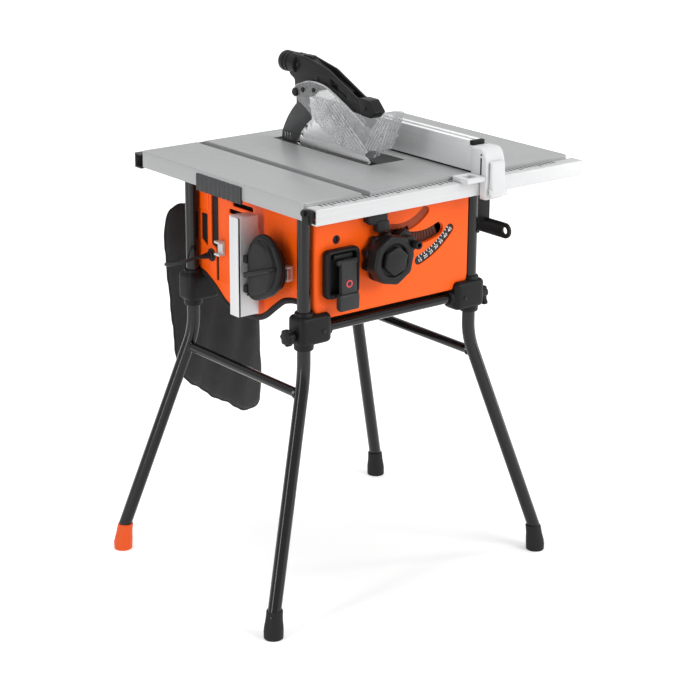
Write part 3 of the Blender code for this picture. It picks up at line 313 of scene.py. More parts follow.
def tube(path, radius, sides=20):
    """A circle carried along a path. Each ring is square to the path, and its first spoke is the
    spoke before it, freed of its part along the path."""
    path = np.asarray(path, float)
    way = np.gradient(path, axis=0)
    way /= np.linalg.norm(way, axis=1, keepdims=True)
    spokes = [np.cross(way[0], (0.31, 0.52, 0.79))]
    for heading in way:
        spoke = spokes[-1] - heading * (spokes[-1] @ heading)
        spokes.append(spoke / np.linalg.norm(spoke))
    spokes = np.array(spokes[1:])
    angle = full_turn(sides)[None, :, None]
    wide = np.broadcast_to(radius, len(path))[:, None, None]
    return skin(path[:, None] + wide * (np.cos(angle) * spokes[:, None]
                                        + np.sin(angle) * np.cross(way, spokes)[:, None]))


def joined(*shapes):
    """Several shapes as one list of points and faces."""
    starts = np.cumsum([0] + [len(points) for points, faces in shapes])
    return (np.concatenate([points for points, faces in shapes]),
            [[start + corner for corner in face] for start, (points, faces) in zip(starts, shapes)
             for face in faces])


def piece(name, shape, body, finish, slot, *nodes, crease=35.0):
    """A mesh object of a shape, faces outwards, smooth except over creases."""
    mesh = bpy.data.meshes.new(name)
    mesh.from_pydata((shape[0] + home).tolist(), [], shape[1])
    work = bmesh.new()
    work.from_mesh(mesh)
    bmesh.ops.recalc_face_normals(work, faces=work.faces)
    work.to_mesh(mesh)
    work.free()
    mesh.shade_smooth()
    mesh.set_sharp_from_angle(angle=np.radians(crease))
    made = bpy.data.objects.new(name, mesh)
    bpy.context.collection.objects.link(made)
    return dressed(made, body, finish, slot, *nodes)


PIN_REACH, BOOT = 0.009, (0.340, 0.612)
px, py, pz = plug_top
grip_ribs = [(0.0122 - 0.0008 * (step % 2), pz - 0.0112 - 0.0016 * step) for step in range(8)]
plug_profile = [(0.0042, pz - 0.0004), (0.0048, pz - 0.001), (0.0062, pz - 0.008), (0.0105, pz - 0.0105),
                *grip_ribs, (0.0148, pz - 0.0255), (0.015, pz - 0.028), (0.015, pz - 0.0372),
                (0.0142, pz - 0.0384)]
plug_body = turned("z", (px, py), plug_profile)
plug_grip = piece("plug_grip", plug_body, "base", cord_sheath, "black_rubber", "plug")
pin_metal = Finish("pin_metal", (0.72, 0.66, 0.5), 0.28, Metallic=1.0)
pin_metal.gloss(0.2 + 0.2 * pin_metal.noise((900.0, 900.0, 60.0)))
pin_profile = ((0.0024, pz - 0.037), (0.0024, pz - 0.0535), (0.0016, pz - 0.0554))
pins = [turned("z", (px + side * PIN_REACH, py), pin_profile, 16) for side in (-1, 1)]
plug_pins = piece("plug_pins", joined(*pins), "base", pin_metal, "steel")
boot_ribs = [(0.0062 - 0.0005 * step - 0.0009 * (step % 2), 0.027 - 0.0029 * step) for step in range(10)]
boot_profile = [(0.0085, 0.0402), (0.0088, 0.0385), (0.0082, 0.0345), (0.0064, 0.0335), *boot_ribs,
                (0.0036, -0.0016)]
boot_collar = ((0.0125, 0.0404), (0.0125, 0.0384), (0.0115, 0.0374))
boot = joined(turned("x", BOOT, boot_profile, 28), turned("x", BOOT, boot_collar, 28))
piece("cord_boot", boot, "base", cord_sheath, "black_rubber", "cord_gland")
TIE_HALF = (0.0172, 0.0125)
TIE_SECTION = ((0.0, -0.004), (0.0012, -0.004), (0.0016, 0.0), (0.0012, 0.004), (0.0, 0.004))
tie_middle = COIL_MIDDLE + (0.0117, 0.0, -0.0353)
tie_line = tie_middle + laid("y", around(full_turn(40)) * TIE_HALF, 0.0)
tie_out = tie_line - tie_middle
tie_out /= np.linalg.norm(tie_out, axis=1, keepdims=True)
tie_rings = [tie_line + tie_out * rise + (0.0, side, 0.0) for rise, side in TIE_SECTION]
strap = moulded("strap_cloth", (0.018, 0.018, 0.019), (0.03, 0.03, 0.03), 0.8, 0.0002)
cord_tie = piece("cord_tie", skin(tie_rings, capped=False, looped=True), "base", strap, "bag_fabric")

# Stand posts and legs: bent steel tube with a black powder coat. The posts carry the housing, and each
# pair of legs plugs into the corner blocks, splays out and is held by a cross tube.
TUBE_RADIUS, BAR_RADIUS = 0.0125, 0.009
UNDER_TABLE, STUB_TOP, POST_FOOT = 0.7786, 0.595, 0.535
LEG_TOP, BEND_START, BEND_HEIGHT, BEND_END, LEG_END = 0.5346, 0.485, 0.455, 0.425, 0.0385
CROSSBAR_HEIGHT, BAR_HEIGHT, BAR_ENDS = 0.422, 0.539, (0.0774, 0.3736)
BAR_GAP, WELD = np.array((0.0, 0.0143, 0.0)), np.array((0.0, 0.004, 0.0))
SPLAY = np.array((0.139, 0.084))
corners = {"front_left": (0.027, 0.034, -1, -1), "front_right": (0.424, 0.034, 1, -1),
           "back_left": (0.027, 0.386, -1, 1), "back_right": (0.424, 0.386, 1, 1)}
tube_coat = Finish("tube_coat", (0.004, 0.004, 0.0045), 0.2, Specular_IOR_Level=0.26, Coat_Weight=0.16,
                   Coat_Roughness=0.05)
tube_coat.paint(tube_coat.noise(14.0, 4.0), (0.0035, 0.0035, 0.004), (0.006, 0.006, 0.0065))
tube_coat.gloss(0.13 + 0.10 * tube_coat.noise(40.0, 4.0))
tube_coat.relief(tube_coat.noise(420.0, 2.0), 0.00004)


def leg_spot(corner, height):
    """The middle of a leg's sloping stretch at a height."""
    x, y, out_x, out_y = corners[corner]
    share = (BEND_HEIGHT - height) / BEND_HEIGHT
    return np.array((x + out_x * SPLAY[0] * share, y + out_y * SPLAY[1] * share, height))


for corner, (x, y, out_x, out_y) in corners.items():
    high = STUB_TOP if corner == "back_right" else UNDER_TABLE
    post = tube(((x, y, POST_FOOT), (x, y, high)), TUBE_RADIUS, 36)
    piece("stand_post_" + corner, post, "base", tube_coat, "black_tube", "post_" + corner)
    t = np.linspace(0, 1, 17)[:, None]
    upper, knee = np.array((x, y, BEND_START)), np.array((x, y, BEND_HEIGHT))
    bend = (1 - t) ** 2 * upper + 2 * t * (1 - t) * knee + t ** 2 * leg_spot(corner, BEND_END)
    path = np.concatenate(([(x, y, LEG_TOP)], bend, [leg_spot(corner, LEG_END)]))
    pair = "left_legs" if out_x < 0 else "right_legs"
    piece("stand_leg_" + corner, tube(path, TUBE_RADIUS, 36), pair, tube_coat, "black_tube", "leg_" + corner)
for side in ("left", "right"):
    front = leg_spot("front_" + side, CROSSBAR_HEIGHT) + BAR_GAP
    back = leg_spot("back_" + side, CROSSBAR_HEIGHT) - BAR_GAP
    welds = [tube((end - WELD, end, end + WELD), (0.0092, 0.0112, 0.0092), 28) for end in (front, back)]
    piece("stand_crossbar_" + side, joined(tube((front, back), BAR_RADIUS, 28), *welds), side + "_legs",
          tube_coat, "black_tube", "crossbar_" + side)
for name, post in (("front_bar", "front_left"), ("rear_bar", "back_left")):
    bar = tube([(x, corners[post][1], BAR_HEIGHT) for x in BAR_ENDS], BAR_RADIUS, 28)
    piece("stand_" + name, bar, "base", tube_coat, "black_tube", name)


# Corner blocks: glass-filled black nylon, moulded round each post, with a collar above, a sleeve below,
# a socket for the bar between the posts and a screw in the outer face.
def eased(outline, radius, steps=6):
    """A closed outline with its corners cut back by a radius and joined by quadratic arcs:
    (1-t)² A + 2t(1-t) corner + t² B."""
    spots = np.asarray(outline, float)
    cut = np.broadcast_to(radius, len(spots))
    back, fore = np.roll(spots, 1, 0) - spots, np.roll(spots, -1, 0) - spots
    ends = [spots + side * (np.minimum(cut, 0.49 * length) / length)[:, None]
            for side, length in ((side, np.linalg.norm(side, axis=1)) for side in (back, fore))]
    t = np.linspace(0, 1, steps + 1)[None, :, None]
    arcs = (1 - t) ** 2 * ends[0][:, None] + 2 * t * (1 - t) * spots[:, None] + t ** 2 * ends[1][:, None]
    return arcs.reshape(-1, spots.shape[1])


def oblong(left, right, low, high, radius, steps=6):
    """A rectangle with rounded corners."""
    return eased(((left, low), (right, low), (right, high), (left, high)), radius, steps)


def shoelace(outline):
    """Twice an outline's area, below zero where it runs clockwise: the sum of x y' - y x' over its edges."""
    after = np.roll(outline, -1, 0)
    return (outline[:, 0] * after[:, 1] - outline[:, 1] * after[:, 0]).sum()


def drawn_in(outline, depth):
    """A closed outline moved inwards by a depth: each point goes along the mean of its two edge
    normals, stretched so that both edges move by the depth."""
    fore = np.roll(outline, -1, 0) - outline
    fore = fore / np.linalg.norm(fore, axis=1, keepdims=True)
    back = np.roll(fore, 1, 0)
    normals = [np.stack((-edge[:, 1], edge[:, 0]), axis=-1) for edge in (fore, back)]
    stretch = np.maximum(1 + (normals[0] * normals[1]).sum(axis=1), 0.4)
    return outline + np.sign(shoelace(outline)) * depth * (normals[0] + normals[1]) / stretch[:, None]


def slab(axis, outline, start, end, edge=0.001, holes=(), rolled=(True, True), steps=3, hole_share=1.0):
    """An outline with holes, carried from start to end along an axis. A rolled rim goes in by
    edge (1 - sin t), or by a share of that at holes, and along by edge (1 - cos t) over a quarter turn."""
    t = np.linspace(0, np.pi / 2, steps + 1)
    inward, along = edge * (1 - np.sin(t)), edge * (1 - np.cos(t)) * np.sign(end - start)
    rims = list(zip(inward, start + along)) if rolled[0] else [(0.0, start)]
    rims += list(zip(inward[::-1], end - along[::-1])) if rolled[1] else [(0.0, end)]
    loops = [np.asarray(loop, float) for loop in (outline, *holes)]
    walls, caps, first = [], [[], []], 0
    for number, loop in enumerate(loops):
        flats = [drawn_in(loop, depth if number == 0 else -hole_share * depth) for depth, place in rims]
        rings = [laid(axis, flat, place) for flat, (depth, place) in zip(flats, rims)]
        walls.append(skin(rings, capped=False))
        for cap, flat, step in ((caps[0], flats[0], 0), (caps[1], flats[-1], len(rims) - 1)):
            cap.append((flat, first + step * len(loop) + np.arange(len(loop))))
        first += len(rims) * len(loop)
    points, faces = joined(*walls)
    for cap in caps:
        corner = np.concatenate([numbers for flat, numbers in cap])
        triangles = tessellate_polygon([[Vector((u, v, 0.0)) for u, v in flat] for flat, numbers in cap])
        faces += corner[np.array(triangles)].tolist()
    return points, faces


black_nylon = moulded("black_nylon", (0.005, 0.005, 0.0055), (0.009, 0.009, 0.0095), 0.46, 0.0001,
                      Specular_IOR_Level=0.16)
dark_screw = moulded("dark_screw", (0.010, 0.010, 0.011), (0.018, 0.018, 0.019), 0.42)


def screw(axis, centre, face, way, radius=0.004):
    """A domed screw head on a face, with a six-sided boss on its top."""
    rise = way * radius
    head = ((radius, face), (radius, face + 0.3 * rise), (0.9 * radius, face + 0.5 * rise),
            (0.62 * radius, face + 0.62 * rise))
    boss = ((0.45 * radius, face + 0.7 * rise), (0.45 * radius, face + 0.55 * rise))
    return joined(turned(axis, centre, head, 24), turned(axis, centre, boss, 6))


BLOCK_HALF, BLOCK_REACH, SCREW_REACH, SCREW_HEIGHT = 0.0225, 0.050, 0.029, 0.540
COLLAR = ((0.0178, 0.566), (0.0172, 0.5752), (0.0160, 0.577), (0.0128, 0.5775))
SLEEVE = ((0.0188, 0.522), (0.0180, 0.508), (0.0166, 0.5062), (0.0128, 0.506))
SOCKET = ((0.0165, 0.010), (0.0152, -0.004), (0.0135, -0.006), (0.0092, -0.0062))
block_screws = []
for corner, (x, y, out_x, out_y) in corners.items():
    inner = x - out_x * BLOCK_REACH
    ends = sorted((x + out_x * BLOCK_HALF, inner))
    socket = [(radius, inner + out_x * along) for radius, along in SOCKET]
    block = joined(
        slab("z", oblong(*ends, y - BLOCK_HALF, y + BLOCK_HALF, 0.014), 0.5165, 0.5715, 0.009, steps=5),
        turned("z", (x, y), COLLAR), turned("z", (x, y), SLEEVE), turned("x", (y, BAR_HEIGHT), socket))
    piece("corner_block_" + corner, block, "base", black_nylon, "black_plastic", "block_" + corner)
    block_screws.append(screw("y", (x - out_x * SCREW_REACH, SCREW_HEIGHT), y + out_y * 0.0222, out_y))
piece("block_screws", joined(*block_screws), "base", dark_screw, "dark_metal")


# Clamp knobs: moulded black knobs on the front blocks that pinch the legs; the left one is a lobed
# hand knob and the right one has a flat wing.
def span(node):
    """A node's lowest and highest corners in the saw's frame."""
    return [np.array(corner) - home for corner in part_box(node)]


def lobed(centre, radius, lobes, depth, points=120):
    """A circle whose radius swells and shrinks: radius + depth cos(lobes a)."""
    angle = full_turn(points)
    reach = radius + depth * np.cos(lobes * angle)
    return np.asarray(centre) + reach[:, None] * around(angle)


KNOB = (0.034, 0.535)
low, high = span("clamp_knob_left")
hub = ((0.0088, low[0] + 0.001), (0.0080, low[0] - 0.0004), (0.0070, low[0] - 0.0006))
knob = joined(slab("x", lobed(KNOB, 0.0148, 7, 0.0012), low[0], low[0] + 0.0135, 0.0025),
              turned("x", KNOB, ((0.0085, high[0]), (0.0085, low[0] + 0.010)), 28),
              turned("x", KNOB, hub, 28))
piece("hand_knob_left", knob, "left_knob", black_nylon, "black_plastic", "clamp_knob_left")
low, high = span("clamp_knob_right")
wing = eased(((0.028, 0.548), (0.028, 0.522), (0.0245, 0.519), (0.0245, 0.512), (0.0435, 0.512),
              (0.0435, 0.519), (0.040, 0.522), (0.040, 0.548)), 0.004)
hub = ((0.0095, low[0]), (0.0095, high[0] - 0.004), (0.0082, high[0]))
knob = joined(slab("x", wing, high[0] - 0.011, high[0] - 0.001, 0.002), turned("x", KNOB, hub, 28))
piece("hand_knob_right", knob, "right_knob", black_nylon, "black_plastic", "clamp_knob_right")

# Feet: rubber boots pushed over the leg ends, with a flat tread; the back left one is an orange
# levelling foot on a thread.
LEAN_START, LEAN_HEIGHT, LEAN_SHARE = 0.010, 0.040, 0.7
boot_rubber = moulded("boot_rubber", (0.008, 0.008, 0.008), (0.015, 0.015, 0.015), 0.62, 0.00018,
                      Specular_IOR_Level=0.2)
foot_orange = moulded("foot_orange", (0.72, 0.085, 0.006), (0.64, 0.07, 0.005), 0.48, Specular_IOR_Level=0.3)
tread_profile = np.array(((0.0168, 0.0), (0.0178, 0.0008), (0.0182, 0.003), (0.0184, 0.012), (0.0181, 0.020),
                          (0.0174, 0.026), (0.0166, 0.031), (0.0160, 0.036), (0.0155, 0.044), (0.0153, 0.051),
                          (0.0147, 0.053), (0.0130, 0.0534)))
wide, rise = tread_profile.T[..., None]
lean = np.clip((rise - LEAN_START) / LEAN_HEIGHT, 0, None) ** 1.2
circle = laid("z", around(full_turn(36)), 0.0)
for corner in corners:
    ground = leg_spot(corner, LEG_END) * (1, 1, 0)
    slope = leg_spot(corner, 0.060) - leg_spot(corner, LEG_END)
    shift = lean * slope * (1, 1, 0) * LEAN_SHARE
    rings = (ground + shift + rise * (0, 0, 1))[:, None] + wide[:, None] * circle
    shape = [skin(rings)]
    if corner == "back_left":
        shape.append(slab("z", lobed(ground[:2], 0.0178, 18, 0.0006), 0.006, 0.017, 0.001))
    body = "adjust_foot" if corner == "back_left" else ("left_legs" if "left" in corner else "right_legs")
    look = (foot_orange, "orange_plastic") if corner == "back_left" else (boot_rubber, "black_rubber")
    piece("tread_" + corner, joined(*shape), body, *look, "foot_" + corner)


# Front panel: one deep orange moulding with well-rounded edges, a curved bevel slot that a sunk guide
# groove runs into, a sunk dark scale with printed degrees and a round hole above the switch. The groove's
# floor is a darker orange as painted shade. A toothed rack on the saw unit shows through the slot, and flat
# black sheets inside the housing are painted shade that closes the view past it.
def round_hole(u, v, radius, points=40):
    """A circle of points."""
    return lobed((u, v), radius, 0, 0.0, points)


def hanging(angle):
    """Directions at angles from straight down: (sin a, -cos a)."""
    return np.stack((np.sin(angle), -np.cos(angle)), axis=-1)


def curved_slot(middle, radius, half, first, last, points=28):
    """A band of a circle with round ends, between two angles from straight down:
    middle + radius (sin a, -cos a)."""
    angle = np.radians(np.linspace(first, last, points))
    out, along = hanging(angle), around(angle)
    t = np.linspace(0, np.pi, 12)[1:-1, None]
    tail = radius * out[-1] + half * (np.cos(t) * out[-1] + np.sin(t) * along[-1])
    lead = radius * out[0] - half * (np.cos(t) * out[0] + np.sin(t) * along[0])
    return middle + np.concatenate(((radius + half) * out, tail, (radius - half) * out[::-1], lead))


def arc_band(middle, outer, inner, angle):
    """A band of a circle with square ends: out along the outer radius and back along the inner one."""
    way = hanging(angle)
    return middle + np.concatenate((outer * way, inner * way[::-1]))


def strip(middle, way, start, end):
    """A four-cornered outline along a direction; start and end are pairs of distance and half width."""
    beside = np.array((-way[1], way[0]))
    return np.array([middle + along * way + side * half * beside
                     for (along, half), side in ((start, -1), (end, -1), (end, 1), (start, 1))])


def oval_ring(radius, place, half_wide, half_tall, points):
    """(radius, place) pairs round an oval: (radius + half_wide cos a, place + half_tall sin a)."""
    return np.array((radius, place)) + around(full_turn(points)) * (half_wide, half_tall)


def inside(outline, spots):
    """Which spots lie in an outline: a level line from each crosses the edges an odd number of times."""
    after = np.roll(outline, -1, 0)
    above = (outline[None, :, 1] > spots[:, None, 1]) != (after[None, :, 1] > spots[:, None, 1])
    rise = np.where(np.abs(after[:, 1] - outline[:, 1]) < 1e-9, 1e-9, after[:, 1] - outline[:, 1])
    crossing = outline[:, 0] + (spots[:, None, 1] - outline[:, 1]) * (after[:, 0] - outline[:, 0]) / rise
    return (above & (spots[:, None, 0] < crossing)).sum(axis=1) % 2 == 1


def merged(first, second):
    """The outline round two overlapping outlines: of each, the run of points outside the other."""
    runs = []
    for own, other in ((first, second), (second, first)):
        clear = ~inside(other, own)
        start = np.flatnonzero(clear & ~np.roll(clear, 1))[0]
        runs.append(np.roll(own, -start, axis=0)[np.roll(clear, -start)])
    return np.concatenate(runs)


TOP, CASE_TOP, FACE, SLOT_RADIUS = 0.787, 0.7726, 0.025, 0.113
TILT, DIAL, BUTTON = np.array((0.288, TOP)), np.array((0.240, TOP)), np.array((0.0930, 0.7020))
case_orange = moulded("case_orange", (0.86, 0.100, 0.0030), (0.80, 0.087, 0.0026), 0.40, 0.00007,
                      Specular_IOR_Level=0.2)
groove_orange_painted_shade = moulded("groove_orange_painted_shade", (0.30, 0.042, 0.007), (0.22, 0.030, 0.005), 0.55)
dial_black = moulded("dial_black", (0.012, 0.0125, 0.014), (0.02, 0.02, 0.022), 0.42)
print_white = moulded("print_white", (0.80, 0.80, 0.78), (0.70, 0.70, 0.68), 0.6, 0.00002)
bevel_slot = curved_slot(TILT, SLOT_RADIUS, 0.012, -32, 24, 60)
guide_groove = curved_slot(DIAL, 0.0885, 0.0090, -13, 44, 60)
dial_groove = curved_slot(DIAL, 0.1635, 0.0085, 17, 49)
face = eased(((0.0430, 0.556), (0.4120, 0.556), (0.4120, CASE_TOP), (0.0430, CASE_TOP)),
             (0.03, 0.03, 0.009, 0.009), 12)
face_holes = [merged(bevel_slot, guide_groove), dial_groove, round_hole(*BUTTON, 0.0072)]
front = slab("y", face, FACE, FACE + 0.007, 0.0065, face_holes, rolled=(True, False), steps=6,
             hole_share=0.15)
wall = slab("y", face, FACE + 0.0068, 0.046, 0.0004, [drawn_in(face, 0.004)])
piece("panel_front", joined(front, wall), "base", case_orange, "orange_plastic", "front_panel")
floor_turn = np.radians(np.linspace(-17, 49, 67))
floor_rim = np.where(floor_turn < np.radians(14.5), 0.0890, 0.1000)[:, None]
# The guide groove's floor is the case orange made darker: painted shade in the recess.
groove_floor = slab("y", arc_band(DIAL, floor_rim, 0.0770, floor_turn), FACE + 0.0026, FACE + 0.0050, 0.0003)
piece("guide_floor", groove_floor, "base", groove_orange_painted_shade, "orange_plastic")
dial_floor = slab("y", drawn_in(dial_groove, -0.003), FACE + 0.0022, FACE + 0.0060, 0.0003)
piece("dial_plate", dial_floor, "base", dial_black, "black_plastic")
well_profile = ((0.0090, FACE + 0.0060), (0.0090, FACE + 0.0050), (0.0050, FACE + 0.0048))
well_ring = oval_ring(0.0072, FACE + 0.0005, 0.0013, 0.0011, 12)
well = joined(turned("y", BUTTON, well_profile), turned("y", BUTTON, well_ring, 36, looped=True))
piece("button_well", well, "base", dial_black, "black_plastic")


def figures(text, size, place, angle):
    """A printed number as a thin plate, turned by an angle and set on the dial."""
    curve = bpy.data.curves.new(text, "FONT")
    curve.body = text
    curve.size = size
    curve.extrude = 0.0001
    curve.resolution_u = 3
    curve.align_x, curve.align_y = "CENTER", "CENTER"
    holder = bpy.data.objects.new(text, curve)
    bpy.context.collection.objects.link(holder)
    flat = holder.evaluated_get(bpy.context.evaluated_depsgraph_get()).to_mesh()
    spots = np.empty(3 * len(flat.vertices))
    flat.vertices.foreach_get("co", spots)
    spots = spots.reshape(-1, 3)
    faces = [list(face.vertices) for face in flat.polygons]
    bpy.data.objects.remove(holder)
    u = spots[:, 0] * np.cos(angle) - spots[:, 1] * np.sin(angle)
    v = spots[:, 0] * np.sin(angle) + spots[:, 1] * np.cos(angle)
    return np.stack((place[0] + u, place[1] - spots[:, 2], place[2] + v), axis=-1), faces


marks = []
for degrees in np.arange(15.0, 45.1, 2.5):
    angle = np.radians(degrees + 3.5)
    out = hanging(angle)
    bar = strip(DIAL, out, (0.1562, 0.0007), (0.1592 if degrees % 5 else 0.1605, 0.0007))
    marks.append(slab("y", bar, FACE + 0.0019, FACE + 0.0023, 0.0001))
    if degrees % 5 == 0:
        spot = DIAL + 0.1663 * out
        marks.append(figures(f"{degrees:.0f}", 0.0098, (spot[0], FACE + 0.0020, spot[1]), angle))
piece("dial_marks", joined(*marks), "base", print_white, "white_plastic")
TOOTH_HALF = 0.009
rack_plate = arc_band(TILT, 0.1275, 0.0880, np.radians(np.linspace(-62, 24, 87)))
rack_teeth = [slab("y", arc_band(TILT, 0.122, 0.104, np.array((turn - TOOTH_HALF, turn + TOOTH_HALF))),
                   0.0328, 0.0346, 0.0003) for turn in np.radians(np.arange(-60, 23, 3.5))]
rack = joined(slab("y", rack_plate, 0.0340, 0.0360, 0.0003), *rack_teeth)
rack_brown = moulded("rack_brown", (0.09, 0.022, 0.010), (0.05, 0.014, 0.008), 0.5)
piece("bevel_rack", rack, "tilt", rack_brown, "black_plastic")
# Dead black sheets inside the housing, behind openings in the front and left panels and under the front
# panel's lower edge, stand in for its dark inside: painted shade.
painted_shade_black = moulded("painted_shade_black", (0.004, 0.004, 0.004), (0.006, 0.006, 0.006), 0.9,
                      Specular_IOR_Level=0.05)
piece("panel_shade_sheets", joined(slab("y", oblong(0.346, 0.4100, 0.600, 0.768, 0.003), 0.0506, 0.0518, 0.0003),
                            slab("y", oblong(0.052, 0.3990, 0.535, 0.600, 0.003), 0.0525, 0.0537, 0.0003),
                            slab("x", oblong(0.196, 0.3690, 0.592, 0.738, 0.003), 0.0480, 0.0492, 0.0003)),
      "base", painted_shade_black, "black_plastic")

# Left panel: orange side wall with a wavy lower edge rimmed in black rubber, a grip slot, a long
# groove backed by a black strip as painted shade for its dark inside, and two cooling slots under the table.
wave = ((0.0464, 0.578), (0.073, 0.584), (0.110, 0.576), (0.138, 0.558), (0.177, 0.530), (0.215, 0.522),
        (0.285, 0.524), (0.330, 0.552), (0.365, 0.570), (0.393, 0.574))
wave_line = flowing(wave, 8)
panel_back, panel_front = wave[-1][0], wave[0][0]
straight = eased(((panel_back, 0.600), (panel_back, UNDER_TABLE), (panel_front, UNDER_TABLE),
                  (panel_front, 0.600)), 0.0015)
side_face = np.concatenate((wave_line, straight[7:-7]))
grip_hole = eased(((0.354, 0.626), (0.375, 0.638), (0.375, 0.689), (0.354, 0.689)), 0.003)
groove_hole = eased(((0.318, 0.566), (0.3265, 0.566), (0.3265, 0.628), (0.341, 0.634), (0.341, 0.730),
                     (0.318, 0.730)), 0.003)
cooling_slots = [oblong(0.206, 0.270, 0.722, 0.731, 0.004), oblong(0.222, 0.282, 0.706, 0.715, 0.004)]
piece("panel_left", slab("x", side_face, 0.0405, 0.0445, 0.001, [grip_hole, groove_hole, *cooling_slots]),
      "base", case_orange, "orange_plastic", "left_panel")
# A black strip behind the long groove stands in for the shade inside it: painted shade.
groove_shade_strip = slab("x", oblong(0.314, 0.379, 0.562, 0.734, 0.004), 0.0447, 0.0475, 0.0005)
lower_rim = tube(laid("x", wave_line[1:-1], 0.0425), 0.0060, 16)
piece("panel_rim_and_shade_strip", joined(lower_rim, groove_shade_strip), "base", boot_rubber, "black_rubber")
steps_up = [slab("x", oblong(0.052, 0.112, 0.604, 0.772, 0.004), 0.0393, 0.0410, 0.0012),
            slab("x", oblong(0.348, 0.3905, 0.697, 0.772, 0.004), 0.0393, 0.0410, 0.0012)]
piece("panel_steps", joined(*steps_up), "base", case_orange, "orange_plastic")

# Rear shell: the orange back of the housing, stepped in round the back left post, with cooling slots, a
# flanged dust port and the peg that the lead is wound on.
PORT, PEG = np.array((0.215, 0.600)), (0.436, 0.6669)
vents = [oblong(0.262 + 0.018 * step, 0.270 + 0.018 * step, 0.625, 0.735, 0.004) for step in range(8)]
flange = ((0.027, 0.4462), (0.030, 0.4468), (0.030, 0.4500), (0.0258, 0.4512), (0.025, 0.4560),
          (0.025, 0.4760), (0.0258, 0.4772), (0.0258, 0.4798), (0.0250, 0.4812), (0.0215, 0.4812),
          (0.0208, 0.4500))
peg = ((0.010, 0.173), (0.010, 0.1190), (0.0148, 0.1184), (0.015, 0.1175), (0.015, 0.1162),
       (0.0135, 0.1152))
rear = joined(slab("y", oblong(0.1705, 0.4105, 0.560, CASE_TOP, 0.003), 0.4425, 0.4465, 0.0015, vents),
              slab("x", oblong(0.371, 0.4465, 0.560, CASE_TOP, 0.003), 0.1705, 0.1745, 0.0012),
              slab("y", oblong(0.0449, 0.1725, 0.560, CASE_TOP, 0.003), 0.371, 0.375, 0.0012),
              turned("y", PORT, flange, 48), turned("x", PEG, peg, 32))
piece("shell_rear", rear, "base", case_orange, "orange_plastic", "rear_shell")

# Right cover: black moulded box over the blade's working space, hung under the table beside the front
# right post, with a hook for the push stick.
COVER_LOW = 0.670
cover_shape = joined(slab("x", oblong(0.048, 0.4465, COVER_LOW, UNDER_TABLE, 0.003), 0.481, 0.485, 0.0015),
                     slab("y", oblong(0.4369, 0.485, COVER_LOW, UNDER_TABLE, 0.003), 0.048, 0.052, 0.0015),
                     slab("y", oblong(0.4112, 0.485, COVER_LOW, UNDER_TABLE, 0.003), 0.4425, 0.4465, 0.0015),
                     slab("x", oblong(0.078, 0.158, 0.638, 0.6755, 0.006), 0.4804, 0.489, 0.0025),
                     *[slab("x", oblong(0.185 + 0.030 * rib, 0.190 + 0.030 * rib, 0.678, 0.770, 0.002),
                            0.4845, 0.4870, 0.001) for rib in range(8)])
piece("cover_right", cover_shape, "base", black_nylon, "black_plastic", "right_cover")

# Table top: cast light alloy under satin grey paint, with a turned-down skirt, a mitre slot milled from
# front to back and a ledged opening for the throat plate.
TABLE_WIDE, TABLE_DEEP, SLOT_LEFT, SLOT_RIGHT = 0.640, 0.518, 0.13025, 0.14975
table_paint = Finish("table_paint", (0.34, 0.343, 0.346), 0.36, Metallic=0.15)
table_paint.paint(table_paint.noise(5.0, 4.0), (0.325, 0.328, 0.331), (0.355, 0.358, 0.361))
table_paint.gloss(0.30 + 0.14 * table_paint.noise(60.0, 5.0))
table_paint.relief(table_paint.noise(900.0, 3.0), 0.00004)
throat = oblong(0.275, 0.362, 0.156, 0.463, 0.006)
left_plank = eased(((0, 0), (SLOT_LEFT, 0), (SLOT_LEFT, TABLE_DEEP), (0, TABLE_DEEP)),
                   (0.010, 0.0006, 0.0006, 0.010))
right_plank = eased(((SLOT_RIGHT, 0), (TABLE_WIDE, 0), (TABLE_WIDE, TABLE_DEEP), (SLOT_RIGHT, TABLE_DEEP)),
                    (0.0006, 0.010, 0.010, 0.0006))
casting = joined(
    slab("z", left_plank, TOP - 0.010, TOP, 0.0012, rolled=(False, True)),
    slab("z", right_plank, TOP - 0.010, TOP, 0.0012, [throat], rolled=(False, True)),
    slab("z", oblong(0.126, 0.154, 0.001, 0.517, 0.001), TOP - 0.014, TOP - 0.0098, 0.0003),
    slab("z", oblong(0.0, TABLE_WIDE, 0.0, TABLE_DEEP, 0.010), TOP - 0.032, TOP - 0.010, 0.001,
         [oblong(0.004, 0.636, 0.004, 0.514, 0.007)], rolled=(True, False)),
    slab("z", oblong(0.270, 0.367, 0.151, 0.468, 0.006), TOP - 0.012, TOP - 0.0045, 0.0004,
         [oblong(0.281, 0.356, 0.162, 0.457, 0.004)]))
piece("table_casting", casting, "base", table_paint, "table_grey", "table_top")
GRIP_FRONT, GRIP_BACK, GRIP_PITCH = 0.184, 0.325, 0.0141
rib_y = np.linspace(GRIP_FRONT, GRIP_BACK, 166)
rib_x = -0.0012 - 0.0016 * (1 + np.cos(2 * np.pi * (rib_y - GRIP_FRONT) / GRIP_PITCH)) ** 0.6
grip = np.concatenate((np.stack((rib_x, rib_y), axis=-1), ((0.0015, GRIP_BACK), (0.0015, GRIP_FRONT))))
grip_grey = moulded("grip_grey", (0.040, 0.041, 0.043), (0.055, 0.056, 0.058), 0.55)
piece("table_grip", slab("z", grip, 0.7478, 0.7800, 0.0008), "base", grip_grey, "black_plastic")

